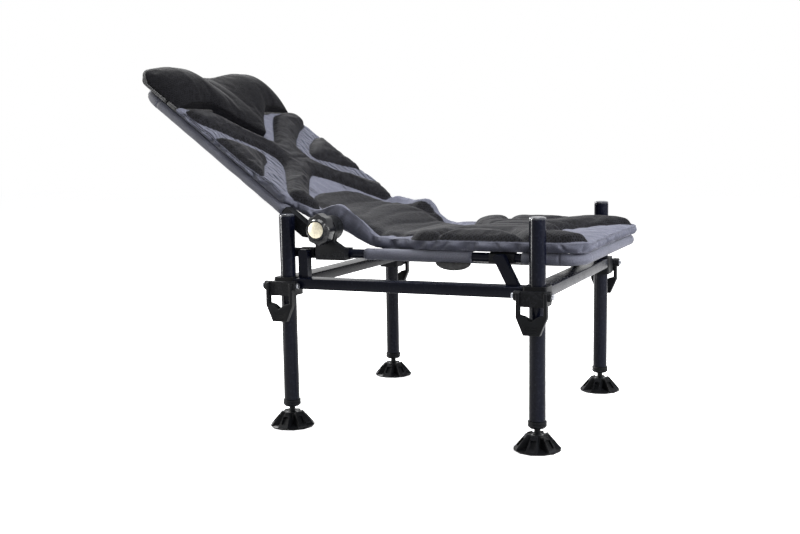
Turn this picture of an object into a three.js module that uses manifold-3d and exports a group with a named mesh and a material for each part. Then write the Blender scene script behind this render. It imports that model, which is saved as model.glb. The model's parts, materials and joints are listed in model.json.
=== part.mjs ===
// Reclining carp fishing chair on four sliding legs with swivelling mud feet.
// Millimetres, +Z up. The origin is on the floor, under the middle of the chair's overall length.
// Below, lengths along Y are measured from midway between the front and rear legs.
// The sitter faces -Y, so +Y is the rear, +X is the sitter's left and -X the sitter's right.
import * as THREE from 'three';
import { mergeVertices } from 'three/addons/utils/BufferGeometryUtils.js';
import Module from 'manifold-3d';

const wasm = await Module();
wasm.setup();

// Gaps between pieces, and the bevel of moulded edges
const SEAM = 0.3;
const RUNNING_GAP = 0.4;
const MOULD_BEVEL = 1;

// Half width of the cushions, from which the chair takes its width
const PAD_HALF_WIDTH = 230;

// Legs
const PAD_LEG_GAP = 5;
const LEG_SPACING_Y = 500;
const LEG_RADIUS = 15;
const LEG_WALL = 1.8;
const LEG_LENGTH = 360;
const LEG_BOTTOM = 54;
const LEG_CAP_CROWN = 6;
const LEG_CAP_SPIGOT = 14;

// Ball stud under each leg
const FERRULE_RADIUS = 17;
const FERRULE_HEIGHT = 13;
const FERRULE_CHAMFER = 3;
const FERRULE_PLUG = 22;
const NECK_RADIUS = 5.7;
const BALL_RADIUS = 9.5;
const BALL_HEIGHT = 23;

// Mud foot and the cup that holds the ball in it
const BALL_GAP = 0.8;
const CUP_WALL = 2.6;
const CUP_OPENING_HEIGHT = 5.2;
const FOOT_RADIUS = 44;
const FOOT_RIM_HEIGHT = 4;
const FOOT_LIP_HEIGHT = 6;
const FOOT_HUB_RADIUS = 19;
const FOOT_CLAWS = 6;
const CLAW_WIDTH = 22;
const CLAW_TOP = 30;
const CLAW_POCKET_WIDTH = 11;
const CLAW_POCKET_DEPTH = 9;
const CLAW_TOP_RADIUS = 20;

// Rectangular rails of the base
const RAIL_TOP = 296;
const RAIL_HEIGHT = 20;
const RAIL_WIDTH = 40;
const RAIL_WALL = 1.5;
const RAIL_CORNER = 2;

// Moulded corner collars that the legs slide in
const COLLAR_HALF = 21.5;
const COLLAR_CORNER = 5;
const COLLAR_BORE_GAP = 0.3;
const COLLAR_RISE = 2;
const COLLAR_DROP = 34;
const NOSE_REACH = 36;
const NOSE_DROP = 5;
const NOSE_HEIGHT = 27;
const SPIGOT_LENGTH = 22;

// Cam levers and their bolts
const LEVER_PIVOT_OUT = 30;
const LEVER_PIVOT_BELOW_RAIL_TOP = 13;
const LEVER_BOLT_RADIUS = 3.2;
const LEVER_BOLT_HEAD_RADIUS = 5;
const LEVER_BOLT_HEAD = 4.5;
const LEVER_BOSS_RADIUS = 9.4;
const LEVER_BOSS_WIDTH = 12;
const LEVER_DEPTH = 13;
const LEVER_BACKSET = 2;
const LEVER_ARM_HALF = 28.5;
const LEVER_TIP_HALF = 15;
const LEVER_ARM_WIDTH = 6;
const LEVER_TOP_RISE = 6;
const LEVER_WAIST_DROP = 37;
const LEVER_TIP_DROP = 69;
const LEVER_WINDOW_DROP = 33;
const LEVER_NOTCH_DROP = 44;
const LEVER_GRIP_GROOVES = 3;
const LEVER_GROOVE_DEPTH = 1;
const LEVER_GROOVE_WIDTH = 1.6;
const LEVER_GROOVE_PITCH = 5;
const LEVER_GROOVE_HALF = 12;

// Round tubes of the seat and the back
const TUBE_RADIUS = 9;
const TUBE_WALL = 1.5;
const TUBE_BEND = 34;
const SEAT_TUBE_RISE = 46;
const SEAT_TUBE_FRONT = 322;
const SEAT_TUBE_REAR = 262;
const SLEEVE_WALL = 2;
const SLING_THICKNESS = 1.7;

// Struts welded to the side rails, with a saddle on each
const STRUT_WIDTH = 20;
const STRUT_THICKNESS = 17;
const STRUT_FRONT_FOOT_Y = -204;
const STRUT_FRONT_TOP_Y = -178;
const STRUT_REAR_Y = 217;
const STRUT_WELD_SINK = 0.8;
const STRUT_HEAD_RISE = 8;
const SADDLE_LENGTH = 48;
const SADDLE_REAR_LENGTH = 30;
const SADDLE_REACH = 12.4;

// Recline hinge
const HINGE_Y = 171;
const HINGE_RISE = 49;
const RECLINE_ANGLE = THREE.MathUtils.degToRad(37.2);
const BACK_TUBE_DROP = 34.6;
const BACK_TUBE_START = 40;
const BACK_TUBE_TOP = 491;
const HUB_RADIUS = 24;
const BRACKET_FRONT = 129;
const BRACKET_REAR = 191;
const BRACKET_DROP = 11;
const BRACKET_PLATE = 14.4;
const BRACKET_INNER_REACH = 11.5;
const ARM_PLATE = 19.9;
const ARM_SOCKET_HALF = 12.4;
const ARM_SOCKET_START = 32;
const ARM_SOCKET_END = 95;
const PIVOT_RADIUS = 5;
const PIVOT_HEAD_RADIUS = 8;
const PIVOT_HEAD = 4;

// Locking knobs
const KNOB_HALF_Y = 24;
const KNOB_HALF_Z = 29;
const KNOB_LOBES = 8;
const KNOB_LOBE_SHARE = 0.05;
const KNOB_DEPTH = 30;
const KNOB_BEVEL = 3;
const KNOB_BEZEL_RADIUS = 20;
const KNOB_BEZEL_DEPTH = 6;
const KNOB_DISC_RADIUS = 15.7;
const KNOB_DISC_DEPTH = 3.4;
const KNOB_BORE_DEPTH = 16;

// Seat and back slings
const SEAT_SLING_REAR = 96;
const SEAT_SLEEVE_GAP = 94;
const SEAT_SLEEVE_GAP_Y = -167;
const SLING_CORNER_GAP = 3;
const BACK_SLING_START = 98;

// Cushions; heights are above the sling they lie on
const PAD_WAIST_INSET = 26;
const PAD_SIDE_TUCK = 7;
const PAD_SIDE_BULGE_SHARE = 0.5;
const PAD_CORNER_RADIUS = 26;
const SEAT_PAD_FRONT = -338;
const SEAT_PAD_REAR = 60;
const SEAT_WAIST_START = -60;
const SEAT_PAD_EDGE = 20;
const SEAT_BASE = 24;
const SEAT_BOLSTER = 17;
const SEAT_BOLSTER_HALF = 23;
const SEAT_FRONT_ARM_HALF = 54;
const SEAT_REAR_ARM_HALF = 34;
const SEAT_SIDE_PAD_HALF_X = 46;
const SEAT_SIDE_PAD_HALF_Y = 64;
const SEAT_TEAR_HALF_X = 128;
const SEAT_TEAR_HALF_Y = 150;
const BACK_PAD_START = 95;
const BACK_PAD_EDGE = 17;
const BACK_BASE = 9;
const BACK_PAD_LUMBAR = 8;
const BACK_BOLSTER = 24;
const BACK_UPPER_ARM_HALF = 32;
const BACK_LOWER_ARM_HALF = 44;
const BACK_SIDE_PAD_HALF = 58;
const BACK_TEAR_HALF_Y = 62;
const PAD_CELLS_ACROSS = 24;
const PAD_CELLS_ALONG = 20;

// Quilting: centres as shares of a cushion's half width and of its length from its lower end
const SEAT_MIDDLE_SHARES = [0, 0.417];
const SEAT_FRONT_ARM_SHARES = [0.817, 0.176];
const SEAT_REAR_ARM_SHARES = [0.765, 0.794];
const SEAT_SIDE_PAD_SHARES = [0.809, 0.548];
const SEAT_TEAR_SHARES = [0, 0.95];
const BACK_MIDDLE_SHARES = [0, 0.488];
const BACK_UPPER_ARM_SHARES = [0.843, 0.894];
const BACK_LOWER_ARM_SHARES = [0.896, -0.056];
const BACK_SIDE_PAD_SHARES = [0.896, 0.426];
const BACK_TEAR_SHARES = [0, -0.116];

// Padded fold between the seat cushion and the back cushion
const FOLD_FRONT_HEIGHT = 37.5;
const FOLD_REAR_HEIGHT = 31;
const FOLD_CELLS_ACROSS = 10;
const FOLD_LOW_SHARES = [[0.17, 0.1], [0.43, 0.45], [0.71, 0.57]];
const FOLD_TOP_SHARES = [[0.19, 0.6], [0.4, 0.92], [0.6, 0.98], [0.745, 1.12]];

// Headrest pillow
const HEADREST_TOP = 527;
const HEADREST_TOP_DIP = 7;
const HEADREST_SHOULDER = 398;
const HEADREST_POINT = 326;
const HEADREST_INSET = 1;
const HEADREST_LOBE = 50;
const HEADREST_MIDDLE = 30;
const HEADREST_EDGE = 9;
const HEADREST_DIP_SHARES = [0.09, 0.57];
const HEADREST_CELLS_ACROSS = 24;
const HEADREST_CELLS_ALONG = 10;

// Tab under the right seat sleeve
const TAB_LENGTH = 70;
const TAB_DROP = 15;
const TAB_THICKNESS = 2;
const TAB_Y = -81;

const ROUND_SEGMENTS = 20;
const SMALL_SEGMENTS = 12;
const TUBE_SEGMENTS = 16;
const ARC_SEGMENTS = 4;
const CUP_STEPS = 5;

// Sizes that follow from the ones above
const LEG_SPACING_X = 2 * (PAD_HALF_WIDTH + PAD_LEG_GAP + LEG_RADIUS);
const TUBE_X = PAD_HALF_WIDTH - TUBE_RADIUS;
const PAD_WAIST_HALF = PAD_HALF_WIDTH - PAD_WAIST_INSET;
const HEADREST_HALF_WIDTH = PAD_HALF_WIDTH - HEADREST_INSET;
const RAIL_MIDDLE = RAIL_TOP - RAIL_HEIGHT / 2;
const SEAT_TUBE_Z = RAIL_TOP + SEAT_TUBE_RISE;
const HINGE_Z = SEAT_TUBE_Z + HINGE_RISE;
const SLEEVE_RADIUS = TUBE_RADIUS + SLEEVE_WALL;
const SLEEVE_BORE = TUBE_RADIUS + SEAM;
const SEAT_SLING_TOP = SEAT_TUBE_Z + SLEEVE_RADIUS;
const BACK_SLING_TOP = SLEEVE_RADIUS - BACK_TUBE_DROP;
const BRACKET_INNER_X = TUBE_X + BRACKET_INNER_REACH;
const BRACKET_OUTER_X = BRACKET_INNER_X + BRACKET_PLATE;
const CUP_INNER_RADIUS = BALL_RADIUS + BALL_GAP;
const CUP_OUTER_RADIUS = CUP_INNER_RADIUS + CUP_WALL;
const FOOT_SOCKET_RADIUS = CUP_OUTER_RADIUS + BALL_GAP;

// Surface finishes
function finish(colour, roughness, metalness) {
  return new THREE.MeshStandardMaterial({ color: colour, roughness, metalness });
}

const PAINT = finish(0x14161f, 0.35, 0.4);
const STEEL = finish(0x9a9da3, 0.35, 0.9);
const PLASTIC = finish(0x17181a, 0.6, 0);
const CAP_PLASTIC = finish(0x3a3d44, 0.4, 0);
const DISC = finish(0xc9c1ab, 0.35, 0.5);
const SLEEVE_CLOTH = finish(0x5b5e68, 0.9, 0);
const PAD_CLOTH = finish(0x3f4148, 0.95, 0);
const MESH_CLOTH = finish(0x1d1d1f, 0.95, 0);
const TAB_CLOTH = finish(0x101012, 0.8, 0);

// Solids: three.js geometry in, three.js geometry out
function signedVolume(positions, index) {
  const a = new THREE.Vector3();
  const b = new THREE.Vector3();
  const c = new THREE.Vector3();
  let volume = 0;
  for (let i = 0; i < index.length; i += 3) {
    a.fromArray(positions, 3 * index[i]);
    b.fromArray(positions, 3 * index[i + 1]);
    c.fromArray(positions, 3 * index[i + 2]);
    volume += a.dot(b.cross(c));
  }
  return volume;
}

function solid(geometry) {
  const bare = geometry.clone();
  bare.deleteAttribute('normal');
  bare.deleteAttribute('uv');
  const merged = mergeVertices(bare, 1e-4);
  const vertProperties = new Float32Array(merged.attributes.position.array);
  const triVerts = new Uint32Array(merged.index.array);
  if (signedVolume(vertProperties, triVerts) < 0) {
    for (let i = 0; i < triVerts.length; i += 3) {
      [triVerts[i], triVerts[i + 1]] = [triVerts[i + 1], triVerts[i]];
    }
  }
  const mesh = new wasm.Mesh({ numProp: 3, vertProperties, triVerts });
  mesh.merge();
  return new wasm.Manifold(mesh);
}

function join(first, ...others) {
  return others.reduce((sum, next) => sum.add(next), first);
}

function cut(body, ...tools) {
  return tools.reduce((rest, tool) => rest.subtract(tool), body);
}

function mirrorTo(side, body) {
  return side > 0 ? body : body.mirror([1, 0, 0]);
}

function geometryOf(body) {
  const mesh = body.getMesh();
  const geometry = new THREE.BufferGeometry();
  geometry.setAttribute('position', new THREE.BufferAttribute(Float32Array.from(mesh.vertProperties), 3));
  geometry.setIndex(new THREE.BufferAttribute(Uint32Array.from(mesh.triVerts), 1));
  geometry.computeVertexNormals();
  return geometry;
}

function piece(parent, name, body, material, x = 0, y = 0, z = 0) {
  const mesh = new THREE.Mesh(geometryOf(body), material);
  mesh.name = name;
  mesh.position.set(x, y, z);
  parent.add(mesh);
  return mesh;
}

// Basic shapes
function block(sizeX, sizeY, sizeZ, x, y, z) {
  return solid(new THREE.BoxGeometry(sizeX, sizeY, sizeZ).translate(x, y, z));
}

function spanBlock([x0, x1], [y0, y1], [z0, z1]) {
  return block(x1 - x0, y1 - y0, z1 - z0, (x0 + x1) / 2, (y0 + y1) / 2, (z0 + z1) / 2);
}

// Body of revolution about Z from [radius, height] pairs
function turned(profile, segments = ROUND_SEGMENTS) {
  const points = profile.map(([r, z]) => new THREE.Vector2(r, z));
  return new THREE.LatheGeometry(points, segments).rotateX(Math.PI / 2);
}

function ringProfile(outer, inner, low, high) {
  return [[inner, low], [outer, low], [outer, high], [inner, high], [inner, low]];
}

function rodProfile(radius, low, high) {
  return [[0, low], [radius, low], [radius, high], [0, high]];
}

function alongY(geometry) {
  return geometry.rotateX(-Math.PI / 2);
}

function alongX(geometry) {
  return geometry.rotateY(Math.PI / 2);
}

// Flat outline in the YZ plane, given thickness from x0 to x1
function sidePlate(outline, x0, x1, bevel = 0, arcSegments = ARC_SEGMENTS) {
  const shape = outline instanceof THREE.Shape ? outline : new THREE.Shape(outline);
  const geometry = new THREE.ExtrudeGeometry(shape, {
    depth: x1 - x0 - 2 * bevel,
    bevelEnabled: bevel > 0,
    bevelThickness: bevel,
    bevelSize: bevel,
    bevelOffset: -bevel,
    bevelSegments: 1,
    curveSegments: arcSegments / 2,
  });
  const turn = new THREE.Matrix4().set(0, 0, 1, 0, 1, 0, 0, 0, 0, 1, 0, 0, 0, 0, 0, 1);
  return solid(geometry.applyMatrix4(turn).translate(x0 + bevel, 0, 0));
}

function point(a, b) {
  return new THREE.Vector2(a, b);
}

function roundedRectangle(width, height, radius) {
  const shape = new THREE.Shape();
  const w = width / 2;
  const h = height / 2;
  shape.moveTo(-w + radius, -h);
  shape.lineTo(w - radius, -h);
  shape.absarc(w - radius, -h + radius, radius, -Math.PI / 2, 0);
  shape.lineTo(w, h - radius);
  shape.absarc(w - radius, h - radius, radius, 0, Math.PI / 2);
  shape.lineTo(-w + radius, h);
  shape.absarc(-w + radius, h - radius, radius, Math.PI / 2, Math.PI);
  shape.lineTo(-w, -h + radius);
  shape.absarc(-w + radius, -h + radius, radius, Math.PI, 1.5 * Math.PI);
  return shape;
}

// Curve that visits its stations in equal steps of the parameter
class StationCurve extends THREE.Curve {
  constructor(stations) {
    super();
    this.stations = stations;
  }

  getPoint(t) {
    return this.stations[Math.round(t * (this.stations.length - 1))].clone();
  }

  getPointAt(t) {
    return this.getPoint(t);
  }

  getTangentAt(t) {
    const last = this.stations.length - 1;
    const i = Math.round(t * last);
    const before = this.stations[Math.max(i - 1, 0)];
    const after = this.stations[Math.min(i + 1, last)];
    return after.clone().sub(before).normalize();
  }
}

// U-shaped rod in the XY plane: two sides along Y and a cross piece at y = end
function bentRod(halfWidth, start, end, bend, radius, segments) {
  const towards = Math.sign(end - start);
  const bendSteps = 5;
  const half = [new THREE.Vector3(halfWidth, start, 0)];
  for (let i = 0; i <= bendSteps; i += 1) {
    const angle = (i / bendSteps) * (Math.PI / 2);
    const x = halfWidth - bend + bend * Math.cos(angle);
    const y = end - towards * bend + towards * bend * Math.sin(angle);
    half.push(new THREE.Vector3(x, y, 0));
  }
  const mirrored = half.map((p) => new THREE.Vector3(-p.x, p.y, 0)).reverse();
  const stations = [...half, ...mirrored];
  const circle = new THREE.Shape();
  circle.absarc(0, 0, radius, 0, 2 * Math.PI);
  return solid(new THREE.ExtrudeGeometry(circle, {
    steps: stations.length - 1,
    curveSegments: segments / 2,
    extrudePath: new StationCurve(stations),
  }));
}

function bentTube(start, end) {
  const towards = Math.sign(end - start);
  const outside = bentRod(TUBE_X, start, end, TUBE_BEND, TUBE_RADIUS, TUBE_SEGMENTS);
  const bore = TUBE_RADIUS - TUBE_WALL;
  const inside = bentRod(TUBE_X, start - towards * TUBE_RADIUS, end, TUBE_BEND, bore, TUBE_SEGMENTS / 2);
  return cut(outside, inside);
}

// Base: rails, collars, levers and legs
function railTube(length) {
  const outline = roundedRectangle(RAIL_WIDTH, RAIL_HEIGHT, RAIL_CORNER);
  const hollow = roundedRectangle(RAIL_WIDTH - 2 * RAIL_WALL, RAIL_HEIGHT - 2 * RAIL_WALL, RAIL_WALL / 2);
  outline.holes.push(hollow);
  return sidePlate(outline, -length / 2, length / 2);
}

function strut(footY, topY) {
  const inner = TUBE_X + SADDLE_REACH + SEAM;
  const foot = RAIL_TOP - STRUT_WELD_SINK;
  const head = SEAT_TUBE_Z + STRUT_HEAD_RISE;
  const half = STRUT_WIDTH / 2 / Math.cos(Math.atan2(topY - footY, head - foot));
  const corner = STRUT_HEAD_RISE / 2;
  const outline = [
    point(footY - half, foot),
    point(footY + half, foot),
    point(topY + half, head - corner),
    point(topY + half - corner, head),
    point(topY - half + corner, head),
    point(topY - half, head - corner),
  ];
  return sidePlate(outline, inner, inner + STRUT_THICKNESS);
}

function addRails(parent) {
  const lengthX = LEG_SPACING_X - 2 * (COLLAR_HALF + SEAM);
  const lengthY = LEG_SPACING_Y - 2 * (COLLAR_HALF + SEAM);
  const acrossX = railTube(lengthX);
  piece(parent, 'front_rail', acrossX, PAINT, 0, -LEG_SPACING_Y / 2, RAIL_MIDDLE);
  piece(parent, 'rear_rail', acrossX, PAINT, 0, LEG_SPACING_Y / 2, RAIL_MIDDLE);
  const turnedRail = railTube(lengthY).rotate([0, 0, 90]).translate([LEG_SPACING_X / 2, 0, RAIL_MIDDLE]);
  const front = strut(STRUT_FRONT_FOOT_Y, STRUT_FRONT_TOP_Y);
  const left = join(turnedRail, front, strut(STRUT_REAR_Y, STRUT_REAR_Y));
  piece(parent, 'side_rail_left', mirrorTo(1, left), PAINT);
  piece(parent, 'side_rail_right', mirrorTo(-1, left), PAINT);
}

function leverBoltHoleBody() {
  const profile = rodProfile(LEVER_BOLT_RADIUS + SEAM, -2 * COLLAR_HALF, 2 * COLLAR_HALF);
  return solid(alongY(turned(profile, SMALL_SEGMENTS)));
}

// Collar for the rear left leg, centred on that leg's axis
function collarBody() {
  const low = RAIL_TOP - COLLAR_DROP;
  const high = RAIL_TOP + COLLAR_RISE;
  const barrelShape = roundedRectangle(2 * COLLAR_HALF, 2 * COLLAR_HALF, COLLAR_CORNER);
  const barrelGeometry = new THREE.ExtrudeGeometry(barrelShape, {
    depth: high - low,
    bevelEnabled: false,
    curveSegments: ARC_SEGMENTS / 2,
  });
  const barrel = solid(barrelGeometry.translate(0, 0, low));
  const noseTop = RAIL_TOP - NOSE_DROP;
  const nose = spanBlock([0, NOSE_REACH], [-COLLAR_HALF, COLLAR_HALF], [noseTop - NOSE_HEIGHT, noseTop]);
  const spigotWidth = RAIL_WIDTH - 2 * (RAIL_WALL + SEAM);
  const spigotHeight = RAIL_HEIGHT - 2 * (RAIL_WALL + SEAM);
  const reach = COLLAR_HALF + SPIGOT_LENGTH;
  const rear = block(reach, spigotWidth, spigotHeight, -reach / 2, 0, RAIL_MIDDLE);
  const side = block(spigotWidth, reach, spigotHeight, 0, -reach / 2, RAIL_MIDDLE);
  const bore = solid(turned(rodProfile(LEG_RADIUS + COLLAR_BORE_GAP, 0, 2 * RAIL_TOP)));
  const pinHole = leverBoltHoleBody().translate([LEVER_PIVOT_OUT, 0, RAIL_TOP - LEVER_PIVOT_BELOW_RAIL_TOP]);
  return cut(join(barrel, nose, rear, side), bore, pinHole);
}

function leverBoltBody() {
  const inner = COLLAR_HALF + RUNNING_GAP + LEVER_BOSS_WIDTH + SEAM;
  const outer = inner + LEVER_BOLT_HEAD;
  const profile = [
    [0, -outer],
    [LEVER_BOLT_HEAD_RADIUS, -outer],
    [LEVER_BOLT_HEAD_RADIUS, -inner],
    [LEVER_BOLT_RADIUS, -inner],
    [LEVER_BOLT_RADIUS, inner],
    [LEVER_BOLT_HEAD_RADIUS, inner],
    [LEVER_BOLT_HEAD_RADIUS, outer],
    [0, outer],
  ];
  return solid(alongY(turned(profile, SMALL_SEGMENTS)));
}

// Cam lever for the +X side, with its pivot at the origin and its grip hanging down
function leverBody() {
  const inner = COLLAR_HALF + RUNNING_GAP;
  const outer = [
    point(-inner, LEVER_TOP_RISE),
    point(-inner - LEVER_ARM_WIDTH, LEVER_TOP_RISE),
    point(-LEVER_ARM_HALF, -LEVER_WAIST_DROP),
    point(-LEVER_TIP_HALF, -LEVER_TIP_DROP),
    point(LEVER_TIP_HALF, -LEVER_TIP_DROP),
    point(LEVER_ARM_HALF, -LEVER_WAIST_DROP),
    point(inner + LEVER_ARM_WIDTH, LEVER_TOP_RISE),
    point(inner, LEVER_TOP_RISE),
    point(inner, -LEVER_WINDOW_DROP),
    point(inner / 2, -LEVER_WINDOW_DROP - 0.25 * (LEVER_NOTCH_DROP - LEVER_WINDOW_DROP)),
    point(0, -LEVER_NOTCH_DROP),
    point(-inner / 2, -LEVER_WINDOW_DROP - 0.25 * (LEVER_NOTCH_DROP - LEVER_WINDOW_DROP)),
    point(-inner, -LEVER_WINDOW_DROP),
  ];
  const front = -LEVER_BACKSET + LEVER_DEPTH;
  let body = sidePlate(outer, -LEVER_BACKSET, front, MOULD_BEVEL);
  for (const end of [-1, 1]) {
    const middle = end * (inner + LEVER_BOSS_WIDTH / 2);
    const profile = rodProfile(LEVER_BOSS_RADIUS, -LEVER_BOSS_WIDTH / 2, LEVER_BOSS_WIDTH / 2);
    body = join(body, solid(alongY(turned(profile, SMALL_SEGMENTS)).translate(0, middle, 0)));
  }
  const grooves = [];
  for (let i = 0; i < LEVER_GRIP_GROOVES; i += 1) {
    const z = -LEVER_TIP_DROP + LEVER_GROOVE_PITCH * (i + 1);
    grooves.push(block(2 * LEVER_GROOVE_DEPTH, 2 * LEVER_GROOVE_HALF, LEVER_GROOVE_WIDTH, front, 0, z));
  }
  return cut(body, leverBoltHoleBody(), ...grooves);
}

function legTubeBody() {
  return solid(turned(ringProfile(LEG_RADIUS, LEG_RADIUS - LEG_WALL, 0, LEG_LENGTH)));
}

function legCapBody() {
  const plug = LEG_RADIUS - LEG_WALL - SEAM;
  const profile = [[0, -LEG_CAP_SPIGOT], [plug, -LEG_CAP_SPIGOT], [plug, SEAM], [LEG_RADIUS, SEAM]];
  const domeSteps = 3;
  for (let i = 0; i <= domeSteps; i += 1) {
    const angle = (i / domeSteps) * (Math.PI / 2);
    const rise = LEG_CAP_CROWN / 3 + (2 * LEG_CAP_CROWN / 3) * Math.sin(angle);
    profile.push([LEG_RADIUS * Math.cos(angle), rise]);
  }
  profile[profile.length - 1][0] = 0;
  return solid(turned(profile));
}

// Ferrule, neck and ball in one; z = 0 is the bottom end of the leg tube
function ballStudBody() {
  const plug = LEG_RADIUS - LEG_WALL - SEAM;
  const ballCentre = BALL_HEIGHT - LEG_BOTTOM;
  const bottom = -FERRULE_HEIGHT;
  const neckAngle = Math.asin(NECK_RADIUS / BALL_RADIUS);
  const profile = [];
  const ballSteps = 6;
  for (let i = 0; i <= ballSteps; i += 1) {
    const angle = Math.PI - (i / ballSteps) * (Math.PI - neckAngle);
    profile.push([BALL_RADIUS * Math.sin(angle), ballCentre + BALL_RADIUS * Math.cos(angle)]);
  }
  profile[0][0] = 0;
  profile.push(
    [NECK_RADIUS, bottom],
    [FERRULE_RADIUS - FERRULE_CHAMFER, bottom],
    [FERRULE_RADIUS, bottom + FERRULE_CHAMFER],
    [FERRULE_RADIUS, -SEAM],
    [plug, -SEAM],
    [plug, FERRULE_PLUG],
    [0, FERRULE_PLUG],
  );
  return solid(turned(profile, SMALL_SEGMENTS));
}

function sphericalArc(radius, fromHeight, toHeight, steps) {
  const start = Math.asin(fromHeight / radius);
  const end = Math.asin(toHeight / radius);
  const arc = [];
  for (let i = 0; i <= steps; i += 1) {
    const angle = start + ((end - start) * i) / steps;
    arc.push([radius * Math.cos(angle), radius * Math.sin(angle)]);
  }
  return arc;
}

// Cup between ball and foot, centred on the ball
function footCupBody() {
  const outer = sphericalArc(CUP_OUTER_RADIUS, -CUP_OUTER_RADIUS, CUP_OPENING_HEIGHT, CUP_STEPS);
  const inner = sphericalArc(CUP_INNER_RADIUS, CUP_OPENING_HEIGHT, -CUP_INNER_RADIUS, CUP_STEPS);
  outer[0][0] = 0;
  inner[inner.length - 1][0] = 0;
  return solid(turned([...outer, ...inner], SMALL_SEGMENTS));
}

// Mud foot, centred on the ball: a disc, a hub and radial claws with open pockets
function footBody() {
  const floor = -BALL_HEIGHT;
  const rim = floor + FOOT_RIM_HEIGHT;
  const plate = solid(turned([
    [0, floor],
    [FOOT_RADIUS - FOOT_RIM_HEIGHT / 2, floor],
    [FOOT_RADIUS, rim - FOOT_RIM_HEIGHT / 3],
    [FOOT_RADIUS - FOOT_RIM_HEIGHT, rim],
    [FOOT_HUB_RADIUS, rim + FOOT_RIM_HEIGHT],
    [FOOT_HUB_RADIUS - FOOT_RIM_HEIGHT, FOOT_LIP_HEIGHT],
    [0, FOOT_LIP_HEIGHT],
  ], 2 * FOOT_CLAWS));
  const top = floor + CLAW_TOP;
  let body = plate;
  const pockets = [];
  for (let i = 0; i < FOOT_CLAWS; i += 1) {
    const turn = (i * 360) / FOOT_CLAWS;
    const claw = new THREE.Shape([
      point(0, floor + FOOT_RIM_HEIGHT / 2),
      point(FOOT_RADIUS - FOOT_RIM_HEIGHT / 2, floor + FOOT_RIM_HEIGHT / 2),
      point(FOOT_RADIUS - FOOT_RIM_HEIGHT, rim + FOOT_RIM_HEIGHT / 2),
      point(CLAW_TOP_RADIUS, top),
      point(FOOT_HUB_RADIUS - FOOT_RIM_HEIGHT, top - FOOT_RIM_HEIGHT / 2),
      point(0, FOOT_LIP_HEIGHT),
    ]);
    const clawGeometry = new THREE.ExtrudeGeometry(claw, { depth: CLAW_WIDTH, bevelEnabled: false });
    const upright = clawGeometry.rotateX(Math.PI / 2).translate(0, CLAW_WIDTH / 2, 0);
    const taper = upright.attributes.position;
    for (let k = 0; k < taper.count; k += 1) {
      const height = (taper.getZ(k) - floor) / CLAW_TOP;
      taper.setY(k, taper.getY(k) * (1 - height / 2));
    }
    body = join(body, solid(upright).rotate([0, 0, turn]));
    const pocketLength = FOOT_RADIUS - CLAW_TOP_RADIUS;
    const slope = Math.atan2(CLAW_TOP - FOOT_RIM_HEIGHT, pocketLength);
    const pocket = new THREE.BoxGeometry(pocketLength * 0.72, CLAW_POCKET_WIDTH, CLAW_POCKET_DEPTH);
    const pocketX = (FOOT_RADIUS + CLAW_TOP_RADIUS) / 2;
    const pocketZ = floor + (CLAW_TOP + FOOT_RIM_HEIGHT) / 2;
    pockets.push(solid(pocket.rotateY(slope).translate(pocketX, 0, pocketZ)).rotate([0, 0, turn]));
  }
  const socket = sphericalArc(FOOT_SOCKET_RADIUS, -FOOT_SOCKET_RADIUS, FOOT_LIP_HEIGHT, CUP_STEPS);
  socket[0][0] = 0;
  socket.push([socket[socket.length - 1][0], CLAW_TOP], [0, CLAW_TOP]);
  return cut(body, ...pockets, solid(turned(socket, SMALL_SEGMENTS)));
}

function addCorner(parent, name, sideX, sideY) {
  const x = (sideX * LEG_SPACING_X) / 2;
  const y = (sideY * LEG_SPACING_Y) / 2;
  let collar = collarBody();
  if (sideY < 0) {
    collar = collar.mirror([0, 1, 0]);
  }
  piece(parent, `collar_${name}`, mirrorTo(sideX, collar), PLASTIC, x, y, 0);
  const pivotX = x + sideX * LEVER_PIVOT_OUT;
  const pivotZ = RAIL_TOP - LEVER_PIVOT_BELOW_RAIL_TOP;
  piece(parent, `lever_bolt_${name}`, leverBoltBody(), STEEL, pivotX, y, pivotZ);
  piece(parent, `lever_${name}`, mirrorTo(sideX, leverBody()), PLASTIC, pivotX, y, pivotZ);
  piece(parent, `leg_tube_${name}`, legTubeBody(), PAINT, x, y, LEG_BOTTOM);
  piece(parent, `leg_cap_${name}`, legCapBody(), CAP_PLASTIC, x, y, LEG_BOTTOM + LEG_LENGTH);
  piece(parent, `ball_stud_${name}`, ballStudBody(), PLASTIC, x, y, LEG_BOTTOM);
  piece(parent, `foot_cup_${name}`, footCupBody(), CAP_PLASTIC, x, y, BALL_HEIGHT);
  piece(parent, `foot_${name}`, footBody(), PLASTIC, x, y, BALL_HEIGHT);
}

// Seat frame: bent tube, saddles, hinge brackets and sling
function saddleBody(length) {
  const flatHalf = 0.7 * SLEEVE_RADIUS;
  const shell = solid(alongY(turned(rodProfile(SLEEVE_RADIUS, -length / 2, length / 2))));
  const pad = spanBlock([0, SADDLE_REACH], [-length / 2, length / 2], [-flatHalf, flatHalf]);
  const bore = solid(alongY(turned(rodProfile(SLEEVE_BORE, -length, length))));
  return cut(join(shell, pad), bore);
}

function pivotHoleBody() {
  const profile = rodProfile(PIVOT_RADIUS + RUNNING_GAP, TUBE_X - HUB_RADIUS, TUBE_X + 2 * HUB_RADIUS);
  return solid(alongX(turned(profile, SMALL_SEGMENTS)));
}

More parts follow.
